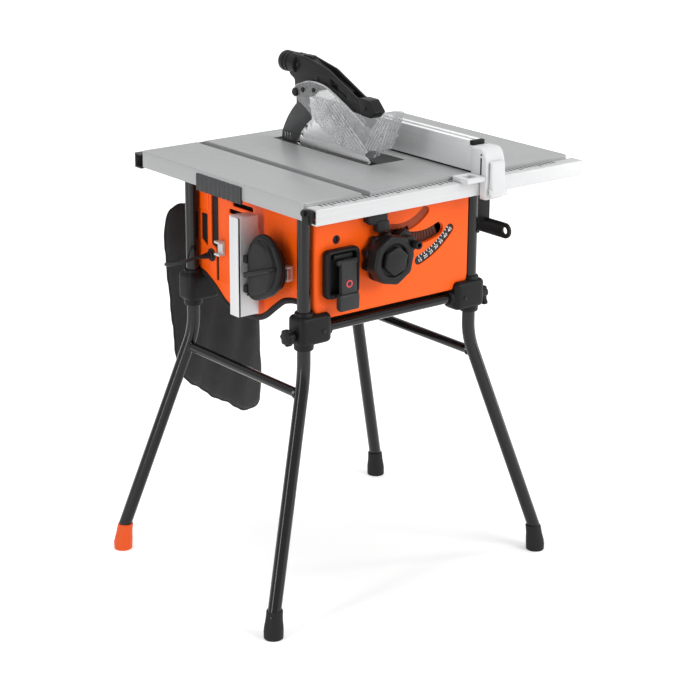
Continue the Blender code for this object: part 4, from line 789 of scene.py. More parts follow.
# Throat plate: thin black plate let in flush round the blade, held by four screws, with a long slot wide
# enough for the tilted blade.
screw_steel = Finish("screw_steel", (0.32, 0.32, 0.33), 0.35, Metallic=1.0)
screw_steel.gloss(0.28 + 0.2 * screw_steel.noise(600.0))
plate_black = moulded("plate_black", (0.020, 0.020, 0.021), (0.030, 0.030, 0.031), 0.4)
plate_edge = oblong(0.2756, 0.3614, 0.1566, 0.4624, 0.006)
slot_hole = oblong(*(span("throat_insert")[0][0] + np.array((0.0067, 0.0229))), 0.1622, 0.4568, 0.002)
piece("throat_plate", slab("z", plate_edge, TOP - 0.0036, TOP - 0.0002, 0.0006, [slot_hole]), "base",
      plate_black, "black_plastic", "throat_insert")
throat_screws = [screw("z", (x, y), TOP - 0.0025, 1, 0.0032) for x in (0.318, 0.354) for y in (0.166, 0.453)]
piece("throat_screws", joined(*throat_screws), "base", screw_steel, "steel")

# Rails: bright anodised channel along the front, printed with a rule along its top, with a black end
# fitting at the left; a dark steel channel runs along the back.
RAIL_LOW, RAIL_HIGH, RAIL_WALL = 0.751, 0.780, 0.003
RULE_STEP, RULE_LONG, RULE_MARK = 0.010, 0.050, 0.0055


def channel(back, front):
    """A rail's three-sided section, open towards the table, with eased corners."""
    inner = front + RAIL_WALL * np.sign(back - front)
    lip_low, lip_high = RAIL_LOW + RAIL_WALL, RAIL_HIGH - RAIL_WALL
    return eased(((back, RAIL_HIGH), (front, RAIL_HIGH), (front, RAIL_LOW), (back, RAIL_LOW), (back, lip_low),
                  (inner, lip_low), (inner, lip_high), (back, lip_high)), 0.0011)


rail_silver = Finish("rail_silver", (0.52, 0.525, 0.53), 0.34, Metallic=0.2)
rule_x, rule_y, rule_z = (rail_silver.axis(name) for name in "XYZ")
short = ((rule_x % RULE_STEP) < RULE_MARK) * (rule_y > -0.013)
longer = ((rule_x % RULE_LONG) < RULE_MARK) * (rule_y > -0.018)
ink = ((short + longer) > 0.5) * (rule_z > 0.7797) * (rule_y < 0.0) * (rule_x > 0.03) * (rule_x < 0.60)
rail_silver.paint(ink, rail_silver.blend(rail_silver.noise((4.0, 300.0, 300.0), 3.0), (0.50, 0.505, 0.51),
                                         (0.55, 0.553, 0.556)), (0.015, 0.015, 0.016))
rail_silver.gloss(0.28 + 0.14 * rail_silver.noise((12.0, 900.0, 900.0), 3.0))
rail_silver.relief(rail_silver.noise((10.0, 1600.0, 1600.0), 2.0), 0.00002)
piece("rail_front", slab("x", channel(-0.0004, -0.030), 0.006, 0.651, 0.0004), "base", rail_silver,
      "bright_aluminium", "front_rail")
dark_steel = Finish("dark_steel", (0.055, 0.056, 0.058), 0.38, Metallic=0.6)
dark_steel.paint(dark_steel.noise(30.0, 4.0), (0.045, 0.046, 0.048), (0.07, 0.071, 0.073))
dark_steel.gloss(0.3 + 0.2 * dark_steel.noise((40.0, 300.0, 300.0), 3.0))
piece("rail_rear", slab("x", channel(0.5184, 0.540), 0.0, TABLE_WIDE, 0.0004), "base", dark_steel,
      "dark_metal", "rear_rail")
fitting_pin = ((0.0058, -0.0050), (0.0058, -0.0092), (0.0046, -0.0102))
fitting = joined(slab("x", oblong(-0.0270, -0.0024, 0.7535, 0.779, 0.004), -0.0060, -0.0015, 0.0014),
                 slab("x", oblong(-0.0256, -0.004, 0.7565, 0.7765, 0.003), -0.0020, 0.0056, 0.001),
                 turned("x", (-0.009, 0.7725), fitting_pin, 24),
                 slab("x", oblong(-0.0245, -0.0195, 0.757, 0.770, 0.002), -0.0082, -0.0050, 0.0008))
piece("rail_fitting", fitting, "base", black_nylon, "black_plastic", "rail_cap")


# Saw unit under the table: a tilting steel cradle that carries a lifting plate with the motor, and the
# arbor with its flanges.
def refinished(node, finish, edge=0.0):
    """A node kept as it is, with a new finish and, where asked, softened edges."""
    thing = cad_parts[node]
    for holder in thing.material_slots:
        holder.material = finish.material
    if edge:
        thing.modifiers.new("closed_seams", "WELD").merge_threshold = 0.00002
        soft = thing.modifiers.new("soft_edges", "BEVEL")
        soft.width = edge
        soft.segments = 2
        soft.limit_method = "ANGLE"
        soft.angle_limit = np.radians(40.0)


unit_steel = Finish("unit_steel", (0.42, 0.43, 0.44), 0.4, Metallic=0.9)
unit_steel.paint(unit_steel.noise(22.0, 5.0), (0.36, 0.37, 0.38), (0.50, 0.51, 0.52))
unit_steel.gloss(0.32 + 0.22 * unit_steel.noise(80.0, 4.0))
for node in ("cradle", "lift_plate", "arbor"):
    refinished(node, unit_steel, 0.0008)
motor_cast = moulded("motor_cast", (0.09, 0.092, 0.095), (0.13, 0.132, 0.135), 0.5, 0.0001, Metallic=0.4)
low, high = span("motor")
middle = (low + high)[1:] / 2
radius = (high - low)[2] / 2
fins = [(radius - 0.0032 * (step // 2 % 2), low[0] + 0.024 + 0.0032 * (step // 2) + 0.0026 * (step % 2))
        for step in range(46)]
motor_profile = [(0.4 * radius, low[0]), (0.62 * radius, low[0] + 0.001), (0.66 * radius, low[0] + 0.008),
                 (0.9 * radius, low[0] + 0.010), (0.96 * radius, low[0] + 0.014),
                 (0.96 * radius, low[0] + 0.022), *fins, (0.97 * radius, high[0] - 0.012),
                 (0.97 * radius, high[0])]
motor_caps = [turned("z", (low[0] + 0.016, middle[0]),
                     [(0.007, middle[1] + side * (radius - depth)) for depth in (0.012, 0.0002)], 6)
              for side in (-1, 1)]
motor_shape = joined(turned("x", middle, motor_profile, 48), *motor_caps)
piece("motor_housing", motor_shape, "lift", motor_cast, "cast_alloy", "motor")

# Blade: 254 mm sheet-steel disc, ground bright, with forty raked teeth, rounded gullets and four
# expansion slots, clamped between the arbor's flanges.
BLADE, BLADE_RADIUS, TEETH = np.array((0.283, 0.730)), 0.127, 40
share = np.array((0.0, 0.08, 0.2, 0.38, 0.6, 0.8, 0.955, 0.975))
fall = np.array((0.0084, 0.0094, 0.0080, 0.0046, 0.0024, 0.0012, 0.0, 0.0006))
tooth_angle = (2 * np.pi / TEETH * (np.arange(TEETH)[:, None] + share)).ravel()
tooth_reach = BLADE_RADIUS - np.tile(fall, TEETH)
blade_edge = BLADE + tooth_reach[:, None] * around(tooth_angle)
relief_slots = [eased(strip(BLADE, around(quarter), (0.078, 0.0012), (0.104, 0.0008)), 0.0005, 3)
                for quarter in np.radians((20, 110, 200, 290))]
blade_steel = Finish("blade_steel", (0.78, 0.785, 0.79), 0.26, Metallic=0.85)
from_hub = blade_steel.node("ShaderNodeVectorMath", {"operation": "SUBTRACT"},
                            {0: blade_steel.spot(), 1: (0.0, float(BLADE[0] + home[1]), float(BLADE[1]))})
hub_distance = blade_steel.node("ShaderNodeVectorMath", {"operation": "LENGTH"}, {0: from_hub}, "Value")
grinding = blade_steel.node("ShaderNodeTexNoise", {"noise_dimensions": "1D"},
                            {"W": hub_distance, "Scale": 2200.0, "Detail": 3.0})
blade_steel.paint(grinding, (0.72, 0.725, 0.73), (0.84, 0.845, 0.85))
blade_steel.gloss(0.18 + 0.2 * grinding)
blade_steel.relief(grinding, 0.00002)
blade_holes = [round_hole(*BLADE, 0.0148), *relief_slots]
piece("saw_blade", slab("x", blade_edge, 0.2868, 0.2892, 0.0002, blade_holes), "spin", blade_steel, "steel",
      "blade")

# Splitter: dark phosphated steel blade-follower behind the blade, slotted at its foot and clamped to the
# cradle's rear leg, with the guard arm on its top.
follow_low, follow_high = span("splitter")
inner_rim = BLADE + 0.1305 * around(np.radians(np.linspace(58, 0, 24)))
outer_rim = BLADE + 0.1785 * around(np.radians(np.linspace(24, 50, 16)))
follower = np.concatenate(([(0.4135, 0.687), (0.4365, 0.687), (0.4365, 0.7786), (0.448, TOP)], outer_rim,
                           [(outer_rim[-1][0], 0.8826), (inner_rim[0][0] + 0.008, 0.8826)], inner_rim))
foot_slots = [eased(((y, 0.791), (y + 0.0035, 0.791), (y + 0.0050, 0.803), (y + 0.0015, 0.803)), 0.0012, 3)
              for y in (0.4185, 0.427, 0.4355)]
piece("blade_follower", slab("x", follower, follow_low[0], follow_high[0], 0.0003, foot_slots), "tilt",
      dark_steel, "dark_metal", "splitter")

# Guard arm: black moulded beam bolted on the splitter, hollow along its top, with a ringed hose port at
# the back, a window in each cheek and a blunt nose.
PIVOT = np.array((0.378, 0.893))
arm_side = np.array(((0.030, 0.030), (0.026, 0.071), (-0.027, 0.070), (-0.094, 0.056), (-0.113, 0.047),
                     (-0.180, 0.016), (-0.216, 0.016), (-0.237, -0.004), (-0.223, -0.017), (-0.159, -0.012),
                     (-0.088, 0.019), (-0.033, 0.002), (-0.020, -0.010), (0.012, -0.010), (0.013, 0.022)))
arm_core = arm_side.copy()
arm_core[3:7] = (-0.088, 0.047), (-0.104, 0.038), (-0.168, 0.006), (-0.212, 0.008)
window = PIVOT + eased(((-0.098, 0.026), (-0.100, 0.040), (-0.150, 0.0215), (-0.150, 0.008)), 0.003)
nose = PIVOT + eased(((-0.186, 0.0172), (-0.216, 0.0168), (-0.2365, -0.004), (-0.223, -0.0168),
                      (-0.192, -0.0152)), 0.004)
ports = ((0.0160, 0.386), (0.0203, 0.388), (0.0205, 0.406), (0.0184, 0.4075), (0.0184, 0.4115),
         (0.0202, 0.4130), (0.0202, 0.4175), (0.0186, 0.4190), (0.0186, 0.4225), (0.0203, 0.4240),
         (0.0205, 0.4325), (0.0195, 0.4350), (0.0165, 0.4350), (0.0160, 0.4300), (0.0155, 0.410))
arm_outline = PIVOT + eased(arm_side, 0.005)
arm = joined(slab("x", arm_outline, 0.2755, 0.2800, 0.0018, [window]),
             slab("x", arm_outline, 0.2960, 0.3005, 0.0018, [window]),
             slab("x", PIVOT + eased(arm_core, 0.005), 0.2795, 0.2965, 0.0008, [window]),
             slab("x", nose, 0.2746, 0.3014, 0.0025),
             slab("x", PIVOT + oblong(-0.034, -0.008, 0.064, 0.0726, 0.002), 0.2815, 0.2945, 0.001),
             turned("y", (0.288, 0.9445), ports, 40),
             turned("x", PIVOT, ((0.008, 0.2719), (0.008, 0.3041)), 32))
arm_black = moulded("arm_black", (0.009, 0.009, 0.0095), (0.015, 0.015, 0.0155), 0.38, 0.00008,
                    Specular_IOR_Level=0.16)
piece("guard_beam", arm, "tilt", arm_black, "black_plastic", "guard_arm")
nose_sides, cheek_sides = (0.2748, 0.3012), (0.2757, 0.3003)
arm_screws = [screw("x", PIVOT + spot, side, way, 0.0042)
              for spot, sides in (((-0.206, 0.0), nose_sides), ((-0.060, 0.034), cheek_sides),
                                  ((0.002, 0.052), cheek_sides))
              for side, way in zip(sides, (-1, 1))]
piece("arm_screws", joined(*arm_screws), "tilt", dark_screw, "dark_metal")


# Guard shell: two clear moulded cheeks stiffened by slanting ribs, joined by a ribbed scoop at the front,
# that swing on the arm's pivot. The left cheek is cut higher, to clear the table when the saw is tilted.
def clipped(outline, spot, way, trim=0.003):
    """The last stretch of a line that lies inside an outline, with both ends trimmed."""
    line = np.asarray(spot) + np.linspace(-0.3, 0.3, 1201)[:, None] * np.asarray(way)
    within = np.flatnonzero(inside(outline, line))
    if len(within) < 20:
        return None
    stretch = np.split(within, np.flatnonzero(np.diff(within) > 1) + 1)[-1]
    return line[stretch[[0, -1]]] + np.array(((trim,), (-trim,))) * np.asarray(way)


SHELL_LEFT, SHELL_RIGHT, SHELL_WALL, RIB_RADIUS = 0.2685, 0.3075, 0.003, 0.0017
LEFT_CLEARANCE = TOP + 0.0215 - PIVOT[1]
shell_upper = np.array(((0.014, 0.0), (0.0, 0.014), (-0.042, 0.0275), (-0.080, 0.0275), (-0.107, 0.021),
                        (-0.161, -0.003), (-0.213, -0.030), (-0.230, -0.036), (-0.270, 0.005),
                        (-0.284, 0.003), (-0.252, -0.071)))
shell_lower = np.array(((-0.193, -0.103), (-0.172, -0.101), (-0.117, -0.076), (-0.070, -0.052),
                        (-0.030, -0.026), (0.006, -0.011)))
left_lower = np.stack((shell_lower[:, 0], np.maximum(shell_lower[:, 1], LEFT_CLEARANCE)), axis=-1)
left_cheek, right_cheek = (eased(PIVOT + np.concatenate((shell_upper, lower)), 0.005)
                           for lower in (left_lower, shell_lower))
clear_shell = Finish("clear_shell", (0.50, 0.51, 0.515), 0.08, Alpha=0.24)
# The clear shell's colour drifts in clouds between darker and lighter grey: painted reflections in the
# plastic.
clear_shell.paint(clear_shell.noise(40.0, 2.0), (0.34, 0.35, 0.355), (0.66, 0.67, 0.675))
clear_shell.gloss(0.06 + 0.08 * clear_shell.noise(90.0, 3.0))
clear_shell.relief(clear_shell.noise(70.0, 2.0), 0.0002)
RIB_WAY, SCOOP_WAY = (-0.81, -0.585), (-0.55, 0.83)
rib_zone = PIVOT + np.array(((-0.036, -0.018), (-0.080, 0.002), (-0.120, 0.004), (-0.170, -0.012),
                             (-0.214, -0.036), (-0.228, -0.046), (-0.244, -0.080), (-0.170, -0.083),
                             (-0.132, -0.081), (-0.114, -0.073), (-0.068, -0.049)))
cheeks, ribs = [], []
for cheek, outer, inner in ((left_cheek, SHELL_LEFT, SHELL_LEFT + SHELL_WALL),
                            (right_cheek, SHELL_RIGHT, SHELL_RIGHT - SHELL_WALL)):
    cheeks.append(slab("x", cheek, outer, inner, 0.0008))
    lines = [clipped(rib_zone, PIVOT + (0.012 - 0.0120 * step, -0.030), RIB_WAY) for step in range(15)]
    lines += [clipped(cheek, PIVOT + (-0.240 - 0.0075 * step, -0.034), SCOOP_WAY) for step in range(5)]
    ribs += [tube(laid("x", ends, outer), RIB_RADIUS, 10) for ends in lines if ends is not None]
    ribs.append(tube(laid("x", PIVOT + flowing(shell_upper[1:7] - (0, 0.001), 5), outer), RIB_RADIUS, 10))
scoop = PIVOT + np.array(((-0.2495, -0.0695), (-0.2798, 0.0022), (-0.2828, 0.0008), (-0.2525, -0.0708)))
cheeks.append(slab("x", scoop, 0.2716, 0.3044, 0.0006))
scoop_ends = scoop[2:] + ((0.0012, -0.003), (-0.0008, 0.002))
ribs += [tube(laid("x", scoop_ends, across), 0.0012, 10) for across in np.linspace(0.2745, 0.3015, 5)]
piece("clear_guard", joined(*cheeks), "guard", clear_shell, "clear_plastic", "guard_shell")
clear_rib = Finish("clear_rib", (0.58, 0.60, 0.61), 0.10)
# The ribs are painted in clouds from near black to near white, with alpha that comes and goes: painted
# highlights and reflections on the clear plastic.
clear_rib.paint(clear_rib.noise(26.0, 2.0), (0.24, 0.245, 0.25), (0.98, 0.99, 1.0))
clear_rib.feed(clear_rib.shader["Alpha"], 0.05 + 0.75 * clear_rib.noise(45.0, 2.0))
clear_rib.gloss(0.06 + 0.10 * clear_rib.noise(120.0, 3.0))
piece("guard_ribs", joined(*ribs), "guard", clear_rib, "clear_plastic")
studs = []
for spot, radius, reach in (((0.0, 0.0), 0.0085, 0.0045), ((-0.024, 0.008), 0.005, 0.003),
                            ((-0.058, 0.012), 0.0045, 0.003)):
    for side, way in ((SHELL_LEFT, -1), (SHELL_RIGHT, 1)):
        stud = ((radius, side), (radius, side + way * 0.5 * reach), (0.75 * radius, side + way * reach))
        studs.append(turned("x", PIVOT + spot, stud, 24))
piece("guard_studs", joined(*studs), "guard", arm_black, "black_plastic")

# Switch: deep black bezel screwed to the panel, with a hinged stop paddle that hangs over its lower
# edge and carries a red ring for off.
low, high = span("switch_box")
bezel_face = oblong(low[0], high[0], low[2], high[2], 0.012)
well = oblong(low[0] + 0.009, high[0] - 0.008, low[2] + 0.009, high[2] - 0.008, 0.006)
start_button = eased(((high[1] - 0.004, high[2] - 0.009), (low[1] + 0.001, high[2] - 0.009),
                      (low[1] + 0.001, high[2] - 0.019), (high[1] - 0.004, high[2] - 0.015)), 0.004)
bezel = joined(slab("y", bezel_face, low[1], high[1], 0.005, [well]),
               slab("y", drawn_in(well, -0.001), high[1] - 0.006, high[1] - 0.0006, 0.0004),
               slab("x", start_button, low[0] + 0.016, high[0] - 0.018, 0.0015))
piece("switch_bezel", bezel, "base", black_nylon, "black_plastic", "switch_box")
low, high = span("switch_flap")
paddle_side = eased(((high[1], high[2]), (high[1] - 0.0085, high[2] - 0.001),
                     (high[1] - 0.0105, low[2] + 0.034), (high[1] - 0.0100, low[2] + 0.026),
                     (high[1], low[2] + 0.026)), 0.002)
lip_side = eased(((high[1], low[2] + 0.031), (low[1] + 0.002, low[2] + 0.031), (low[1], low[2] + 0.024),
                  (low[1] + 0.001, low[2]), (high[1] - 0.004, low[2]), (high[1], low[2] + 0.005)), 0.003)
paddle = joined(slab("x", paddle_side, low[0] + 0.0035, high[0] - 0.002, 0.0015),
                slab("x", lip_side, low[0] - 0.003, high[0] + 0.001, 0.003),
                slab("x", oblong(high[1] - 0.006, high[1] + 0.001, high[2] - 0.008, high[2] + 0.001, 0.003),
                     low[0] - 0.002, high[0] + 0.002, 0.001))
paddle_grey = moulded("paddle_grey", (0.018, 0.0185, 0.019), (0.026, 0.026, 0.027), 0.45)
piece("stop_paddle", paddle, "flap", paddle_grey, "dark_metal", "switch_flap")
ring_red = moulded("ring_red", (0.66, 0.060, 0.085), (0.60, 0.05, 0.07), 0.5, 0.00002)
ring_profile = oval_ring(0.0058, high[1] - 0.0101, 0.0014, 0.0008, 10)
stop_ring = turned("y", (low[0] + 0.020, low[2] + 0.049), ring_profile, 40, looped=True)
piece("stop_ring", stop_ring, "flap", ring_red, "orange_plastic")

# Bevel lock: black lever that hangs from under the rail, with a wide top plate, and pinches the bevel
# plate against the panel.
low, high = span("bevel_lever")
lever_tongue = eased(((0.172, 0.726), (0.1745, 0.7046), (0.204, 0.7046), (0.200, 0.726)), 0.004)
lever_plate = eased(((0.1535, 0.7245), (0.1590, 0.7245), (0.1590, 0.7205), (0.1985, 0.7205),
                     (0.1985, high[2]), (0.1535, high[2])), 0.002)
lever = joined(slab("y", lever_tongue, low[1], high[1] - 0.004, 0.002),
               slab("y", lever_plate, low[1] + 0.002, high[1], 0.002))
piece("lock_lever", lever, "bevel_lock", arm_black, "black_plastic", "bevel_lever")

# Bevel plate: black lobed hand plate behind the crank; its neck runs in the curved slot and turns the
# whole saw unit.
WHEEL = np.array((0.192, 0.656))
neck = TILT + SLOT_RADIUS * hanging(np.radians(-26))
neck_reach = np.linalg.norm(neck - WHEEL)
ear_plate = strip(WHEEL, (neck - WHEEL) / neck_reach, (-0.010, 0.014), (neck_reach + 0.0142, 0.0142))
plate_shape = joined(slab("y", lobed(WHEEL, 0.0430, 9, 0.0036, 180), 0.0045, 0.0220, 0.0030),
                     slab("y", eased(ear_plate, 0.010), 0.0055, 0.0216, 0.002),
                     turned("y", neck, ((0.0116, 0.015), (0.0116, 0.0616)), 36))
piece("bevel_hand_plate", plate_shape, "tilt", arm_black, "black_plastic", "bevel_plate")


# Height crank: black eight-sided hand wheel with a raised six-sided cap and an ear that carries the
# turning knob.
def many_sided(centre, radius, sides, first, soft):
    """A regular outline of so many sides, with softened corners."""
    return eased(np.asarray(centre) + radius * around(np.radians(first) + full_turn(sides)), soft)


KNOB_REACH = 0.054
ear_way = around(np.radians(25))
knob_spot = WHEEL + KNOB_REACH * ear_way
ear = eased(strip(WHEEL, ear_way, (0.022, 0.024), (KNOB_REACH + 0.0105, 0.0125)), 0.011)
crank = joined(slab("y", many_sided(WHEEL, 0.0480, 8, 10, 0.006), -0.0224, 0.0036, 0.0045,
                    [round_hole(*WHEEL, 0.0300, 60)], steps=4),
               turned("y", WHEEL, ((0.032, 0.0030), (0.032, -0.0150), (0.0290, -0.0156)), 48),
               slab("y", many_sided(WHEEL, 0.0275, 6, 20, 0.004), -0.0284, -0.0150, 0.0030),
               slab("y", ear, -0.0122, 0.0032, 0.003))
piece("height_crank", crank, "crank", arm_black, "black_plastic", "crank_wheel")
low, high = span("crank_knob")
knob_profile = ((0.0066, high[1]), (0.0068, high[1] - 0.004), (0.0080, high[1] - 0.007),
                (0.0080, low[1] + 0.003), (0.0074, low[1] + 0.0006), (0.0058, low[1]),
                (0.0044, low[1] + 0.0006), (0.0042, low[1] + 0.008))
piece("crank_handle", turned("y", knob_spot, knob_profile, 32), "crank_grip", boot_rubber, "black_rubber",
      "crank_knob")

# Rip fence: brushed aluminium extrusion with two ridges along its top whose tops are lighter as a painted
# highlight, black end caps and a black strip along its foot as painted shade for the gap under it, carried
# by a white moulded head that grips the front rail.
fence_metal = Finish("fence_metal", (0.68, 0.685, 0.69), 0.40, Metallic=0.35)
brushing = fence_metal.noise((700.0, 8.0, 700.0), 3.0)
fence_metal.paint(brushing, (0.62, 0.625, 0.63), (0.74, 0.745, 0.75))
fence_metal.gloss(0.26 + 0.2 * brushing)
fence_metal.relief(brushing, 0.00003)
low, high = span("fence_body")
RIDGE_WIDE, RIDGE_TALL = 0.009, 0.004
beam = eased(((low[0], low[2]), (high[0], low[2]), (high[0], high[2]), (high[0] - RIDGE_WIDE, high[2]),
              (high[0] - RIDGE_WIDE, high[2] - RIDGE_TALL), (low[0] + RIDGE_WIDE, high[2] - RIDGE_TALL),
              (low[0] + RIDGE_WIDE, high[2]), (low[0], high[2])), 0.0012)
piece("fence_beam", slab("y", beam, low[1], high[1], 0.0004), "fence", fence_metal, "bright_aluminium",
      "fence_body")
# Thin lighter strips along the tops of the two ridges: painted highlight where the light falls on them.
ridges = [slab("y", oblong(x, x + 0.0074, high[2] - 0.0005, high[2] + 0.0002, 0.0003), low[1] + 0.001,
               high[1] - 0.001, 0.0001) for x in (low[0] + 0.0008, high[0] - 0.0082)]
ridge_painted_highlight = Finish("ridge_painted_highlight", (0.82, 0.825, 0.83), 0.3, Metallic=0.1)
ridge_painted_highlight.paint(ridge_painted_highlight.noise((400.0, 6.0, 400.0), 3.0), (0.79, 0.795, 0.80), (0.85, 0.855, 0.86))
ridge_painted_highlight.gloss(0.24 + 0.14 * ridge_painted_highlight.noise(60.0, 3.0))
piece("fence_ridge_highlights", joined(*ridges), "fence", ridge_painted_highlight, "bright_aluminium")
front_cap = oblong(low[0] - 0.0006, high[0] + 0.0006, high[2] - 0.0085, high[2] + 0.0008, 0.0015)
back_cap = oblong(low[0] - 0.0004, high[0] + 0.0004, low[2], high[2] + 0.0004, 0.0015)
# A black strip along the beam's foot stands in for the shadowed gap between fence and table: painted shade.
foot_shade_strip = oblong(low[0] - 0.0003, high[0] + 0.0003, low[2] - 0.0008, low[2] + 0.0020, 0.0006)
ends = joined(slab("y", front_cap, low[1] - 0.0002, low[1] + 0.009, 0.0008),
              slab("y", back_cap, high[1] - 0.005, high[1] + 0.0008, 0.0006),
              slab("y", foot_shade_strip, low[1] + 0.002, high[1] - 0.002, 0.0003))
piece("fence_ends", ends, "fence", black_nylon, "black_plastic")
head_white = moulded("head_white", (0.58, 0.585, 0.59), (0.54, 0.545, 0.55), 0.42, 0.00005)
low, high = span("fence_head")
rail_gap = 0.7804
head_side = eased(((high[1], rail_gap), (high[1], high[2]), (low[1] + 0.010, high[2]),
                   (low[1], high[2] - 0.020), (low[1], low[2]), (-0.0304, low[2]), (-0.0304, rail_gap)),
                  (0.002, 0.004, 0.010, 0.010, 0.003, 0.003, 0.002))
head_step = eased(((high[1] - 0.006, high[2] - 0.006), (low[1] + 0.014, high[2] - 0.006),
                   (low[1] + 0.006, high[2] - 0.024), (low[1] + 0.006, rail_gap + 0.006),
                   (high[1] - 0.006, rail_gap + 0.006)), 0.004)
head = joined(slab("x", head_side, low[0], high[0], 0.0035),
              slab("x", head_step, low[0] - 0.0008, high[0] + 0.0008, 0.0006))
piece("fence_carrier", head, "fence", head_white, "white_plastic", "fence_head")
# A black strip and a black dot laid on the head's side stand in for a slot and a hole: painted shade.
slot_shade_strip = oblong(-0.0365, -0.0325, 0.790, 0.822, 0.0015)
slots = joined(slab("x", slot_shade_strip, low[0] - 0.0012, low[0] + 0.001, 0.0003),
               turned("x", (-0.0345, 0.8275), ((0.0019, low[0] + 0.001), (0.0019, low[0] - 0.0012)), 16))
piece("carrier_slot_shade", slots, "fence", dial_black, "black_plastic")
low, high = span("fence_cursor")
mid = (low + high) / 2


def cursor_window(half_wide, half_deep, radius):
    """A rectangle with rounded corners about the cursor's middle."""
    return oblong(mid[0] - half_wide, mid[0] + half_wide, mid[1] - half_deep, mid[1] + half_deep, radius)


cursor = slab("z", oblong(low[0], high[0], low[1], high[1], 0.003), low[2], high[2], 0.0015,
              [cursor_window(0.011, 0.011, 0.0015)])
piece("cursor_frame", cursor, "fence", head_white, "white_plastic", "fence_cursor")
lens_clear = Finish("lens_clear", (0.9, 0.92, 0.92), 0.06, Transmission_Weight=0.9, IOR=1.45)
lens_clear.gloss(0.04 + 0.06 * lens_clear.noise(150.0))
lens_sheet = slab("z", cursor_window(0.0112, 0.0112, 0.001), low[2] + 0.0030, low[2] + 0.0045, 0.0002)
piece("cursor_lens", lens_sheet, "fence", lens_clear, "clear_plastic")
hair_line = slab("z", cursor_window(0.0005, 0.010, 0.0003), low[2] + 0.0045, low[2] + 0.0048, 0.0001)
piece("cursor_line", hair_line, "fence", ring_red, "orange_plastic")
low, high = span("fence_lever")
lever_side = eased(((high[1], high[2]), (high[1] - 0.008, high[2] - 0.003),
                    (high[1] - 0.0095, low[2] + 0.026), (low[1], low[2] + 0.004), (low[1] + 0.001, low[2]),
                    (high[1], low[2])), 0.003)
foot_side = eased(((high[1] - 0.003, low[2] + 0.016), (low[1] + 0.003, low[2] + 0.012), (low[1], low[2]),
                   (high[1] - 0.003, low[2])), 0.003)
clamp = joined(slab("x", lever_side, low[0], high[0], 0.003),
               slab("x", foot_side, low[0] - 0.004, high[0] + 0.004, 0.003))
piece("fence_clamp_lever", clamp, "fence_clamp", head_white, "white_plastic", "fence_lever")

# Mitre gauge: steel bar clipped to the left panel, with a black moulded protractor head and a bright
# extruded face, grooved for a stop.
low, high = span("mitre_bar")
bar_stud = ((0.004, low[0] - 0.0006), (0.004, low[0] + 0.001))
gauge_bar = joined(slab("y", oblong(low[0], high[0], low[2], high[2], 0.0012), low[1], high[1], 0.001),
                   turned("x", (low[1] + 0.012, (low[2] + high[2]) / 2), bar_stud, 20))
piece("gauge_bar", gauge_bar, "gauge", unit_steel, "steel", "mitre_bar")
low, high = span("mitre_head")
head_shape = eased(((0.1694, 0.578), (0.1694, 0.668), (0.151, 0.693), (0.132, 0.705), (0.110, 0.704),
                    (0.088, 0.692), (0.072, 0.664), (0.068, 0.645), (0.075, 0.620), (0.090, 0.599),
                    (0.125, 0.581), (0.150, 0.573)), 0.014)
grip_line = strip(np.array((0.158, 0.6235)), np.array((-0.945, 0.327)), (0.0, 0.0055), (0.086, 0.0040))
protractor = joined(slab("x", head_shape, low[0] + 0.008, high[0] - 0.012, 0.007, steps=5),
                    slab("x", drawn_in(head_shape, 0.009), low[0] + 0.001, high[0] - 0.013, 0.009, steps=6),
                    slab("x", oblong(0.086, 0.1690, 0.600, 0.680, 0.030), high[0] - 0.014, high[0], 0.002),
                    slab("x", eased(grip_line, 0.003), low[0] - 0.0080, low[0] + 0.012, 0.0025),
                    *[slab("x", oblong(0.158, 0.1695, height, height + 0.014, 0.002), low[0] + 0.001,
                           low[0] + 0.014, 0.001) for height in (0.588, 0.644)])
piece("gauge_protractor", protractor, "gauge_head", arm_black, "black_plastic", "mitre_head")
face_metal = Finish("face_metal", (0.62, 0.625, 0.63), 0.4, Metallic=0.45)
drawing = face_metal.noise((800.0, 800.0, 8.0), 3.0)
face_metal.paint(drawing, (0.56, 0.565, 0.57), (0.70, 0.705, 0.71))
face_metal.gloss(0.32 + 0.2 * drawing)
face_metal.relief(drawing, 0.00002)
low, high = span("mitre_face")
face_back = high[1] + 0.009
face_plan = eased(((low[0], low[1]), (low[0] + 0.0012, low[1]), (low[0] + 0.0012, low[1] + 0.007),
                   (low[0] + 0.0050, low[1] + 0.007), (low[0] + 0.0050, low[1]), (high[0], low[1]),
                   (high[0], face_back), (low[0] + 0.004, face_back), (low[0] + 0.004, face_back - 0.005),
                   (low[0], face_back - 0.005)), 0.0005)
piece("gauge_face", slab("z", face_plan, low[2], high[2], 0.0005), "gauge_head", face_metal,
      "bright_aluminium", "mitre_face")
# A black fill inside the stop groove stands in for the groove's dark inside: painted shade.
groove_shade_fill = oblong(low[0] + 0.0010, low[0] + 0.0052, low[1] + 0.0012, low[1] + 0.0072, 0.0004)
piece("face_groove_shade", slab("z", groove_shade_fill, low[2] + 0.0008, high[2] - 0.0008, 0.0002), "gauge_head",
      dial_black, "black_plastic")
refinished("clip_front", fence_metal, 0.0006)
refinished("clip_rear", head_white, 0.0006)

# Push stick: flat black moulding on a hook under the right cover, with an eye at the front and a notch
# for the workpiece at the back.
STICK_SHIFT, EYE_RADIUS, NOTCH = (0.0, 0.008, 0.010), 0.015, 0.014
low, high = (corner + STICK_SHIFT for corner in span("push_stick"))
eye_spot = np.array((low[1] + EYE_RADIUS, (low[2] + high[2]) / 2))
eye_rim = eye_spot + EYE_RADIUS * around(np.radians(np.linspace(90, 270, 20)))
heel = [(high[1] - 0.002, low[2]), (high[1], low[2] + 0.002), (high[1] - NOTCH, eye_spot[1] - 0.001),
        (high[1] - NOTCH, eye_spot[1] + 0.001), (high[1], eye_spot[1]), (high[1] - 0.020, high[2])]
stick = slab("x", np.concatenate((eye_rim, heel)), low[0], high[0], 0.0015, [round_hole(*eye_spot, 0.0068)])
piece("stick", stick, "stick", arm_black, "black_plastic", "push_stick")

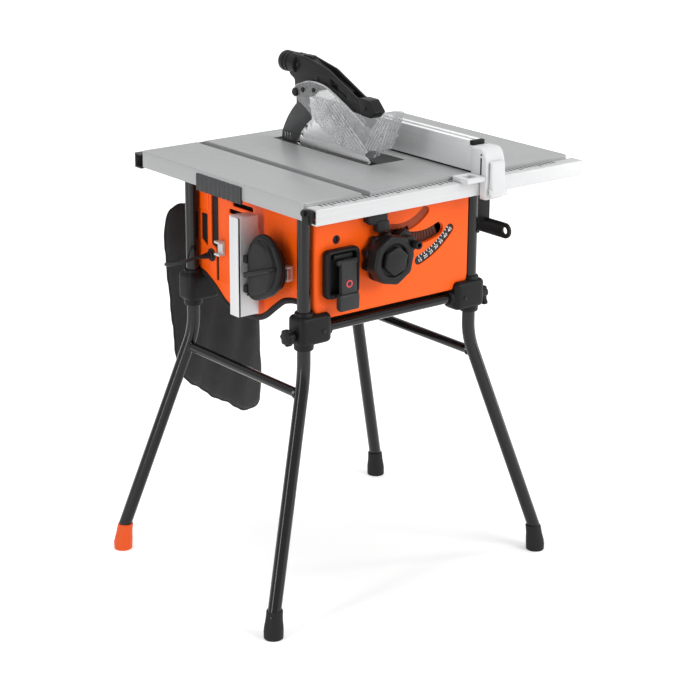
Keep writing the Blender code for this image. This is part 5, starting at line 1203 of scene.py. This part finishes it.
# Dust bag: black woven polyester, sewn flat from two layers, gathered on the dust port by an elastic cuff
# and hanging with soft folds and a puckered hem.
BAG_PLANE, BAG_INSET = 0.508, 0.0030
BAG_LOW, BAG_HIGH = span("dust_bag")
bag_wide, bag_tall = (BAG_HIGH - BAG_LOW)[0], (BAG_HIGH - BAG_LOW)[2]
bag_shares = np.array(((0.03, 0.97), (0.0, 0.86), (0.11, 0.28), (0.18, 0.21), (0.43, 0.11), (0.85, -0.018),
                       (1.0, -0.012), (1.03, 0.09), (0.97, 0.93), (0.88, 1.0), (0.12, 1.0)))
bag_corners = BAG_LOW[[0, 2]] + bag_shares * (bag_wide, bag_tall)
bag_rough = eased(bag_corners, (0.03, 0.05, 0.04, 0.03, 0.06, 0.02, 0.018, 0.03, 0.03, 0.02, 0.02), 12)
bag_round = np.vstack((bag_rough, bag_rough[:1]))
bag_step = np.concatenate(([0.0], np.cumsum(np.linalg.norm(np.diff(bag_round, axis=0), axis=1))))
bag_place = np.linspace(0, bag_step[-1], 241)[:-1]
bag_edge = np.stack([np.interp(bag_place, bag_step, line) for line in bag_round.T], axis=-1)
pucker = (0.0019 * np.sin(2 * np.pi * bag_place / 0.0795)
          + 0.0009 * np.sin(2 * np.pi * bag_place / 0.0311 + 1.1))[:, None]
bag_edge = bag_edge + BAG_INSET * (bag_edge.mean(axis=0) - bag_edge) / 0.2 + pucker * np.array((0.35, 0.8))
bag_middle = np.broadcast_to((0.158, 0.450), bag_edge.shape)
mouth_way = bag_edge - PORT
mouth_way /= np.linalg.norm(mouth_way, axis=1, keepdims=True)


def bag_layer(start, side, shares, calm):
    """One layer: rings run from a starting ring to the hem. It swells as half depth times
    sqrt(1 - s^3.2), with long hanging folds that fade towards the hem and, at a rate, the start."""
    s = shares[:, None]
    x, z = (start[:, k] + s * (bag_edge[:, k] - start[:, k]) for k in (0, 1))
    swell = np.sqrt(np.clip(1 - s ** 3.2, 0, 1)) * (0.013 + 0.008 * np.clip((0.66 - z) / 0.4, 0, 1))
    fold = (0.0030 * np.sin(58 * x + 9 * z + 0.8 * side) + 0.0022 * np.sin(97 * x - 21 * z + 2.0 * side)
            + 0.0016 * np.sin(44 * z + 31 * x)) * np.clip(1 - s ** 4, 0, 1) * np.clip(calm * s, 0, 1)
    return np.stack((x, BAG_PLANE + side * (swell + fold), z), axis=-1)


ring_line = 1 - np.linspace(1, 0, 34) ** 1.25
front_layer = bag_layer(PORT + 0.0268 * mouth_way, -1, ring_line, 3.0)
gathers = 0.0016 * np.sin(18 * np.arctan2(mouth_way[:, 1], mouth_way[:, 0])) - 0.0105
front_layer[..., 1] += np.exp(-(ring_line[:, None] / 0.14) ** 2) * gathers
back_layer = bag_layer(bag_middle, 1, ring_line[1:-1], 40.0)
bag_points, bag_faces = skin(np.concatenate((front_layer, back_layer[::-1])), capped=False)
bag_faces.append(list(range(len(bag_points) - len(bag_edge), len(bag_points))))
bag_cloth = Finish("bag_cloth", (0.014, 0.013, 0.013), 0.85, Sheen_Weight=0.25, Sheen_Roughness=0.4)
warp, weft = (bag_cloth.node("ShaderNodeTexWave", {"bands_direction": way},
                             {"Vector": bag_cloth.spot(), "Scale": 260.0}) for way in "XZ")
bag_cloth.paint(bag_cloth.noise(18.0, 5.0), (0.008, 0.0075, 0.0075), (0.016, 0.015, 0.015))
bag_cloth.gloss(0.74 + 0.2 * bag_cloth.noise(50.0, 4.0))
bag_cloth.relief(warp * weft + bag_cloth.noise(120.0, 4.0) * 2.0, 0.0003)
cloth_bag = piece("cloth_bag", (bag_points, bag_faces), "base", bag_cloth, "bag_fabric", "dust_bag",
                  crease=80.0)
weave = cloth_bag.modifiers.new("weave", "SOLIDIFY")
weave.thickness = 0.0008
weave.offset = -1.0
hem_line = laid("y", bag_edge, BAG_PLANE)
hem = tube(np.vstack((hem_line, hem_line[:1])), 0.0022, 8)
bag_hem = piece("bag_binding", hem, "base", strap, "bag_fabric")
cuff_bumps = [(0.0276 + 0.0014 * (step % 2), 0.4700 + 0.0016 * step) for step in range(9)]
cuff_profile = [(0.0260, 0.4690), *cuff_bumps, (0.0284, 0.4842), (0.0266, 0.4848), (0.0260, 0.4835)]
cuff = turned("y", PORT, cuff_profile, 60, looped=True)
bag_cuff = piece("bag_cuff", cuff, "base", bag_cloth, "bag_fabric")
layer_area = 0.5 * abs(float(shoelace(bag_edge)))
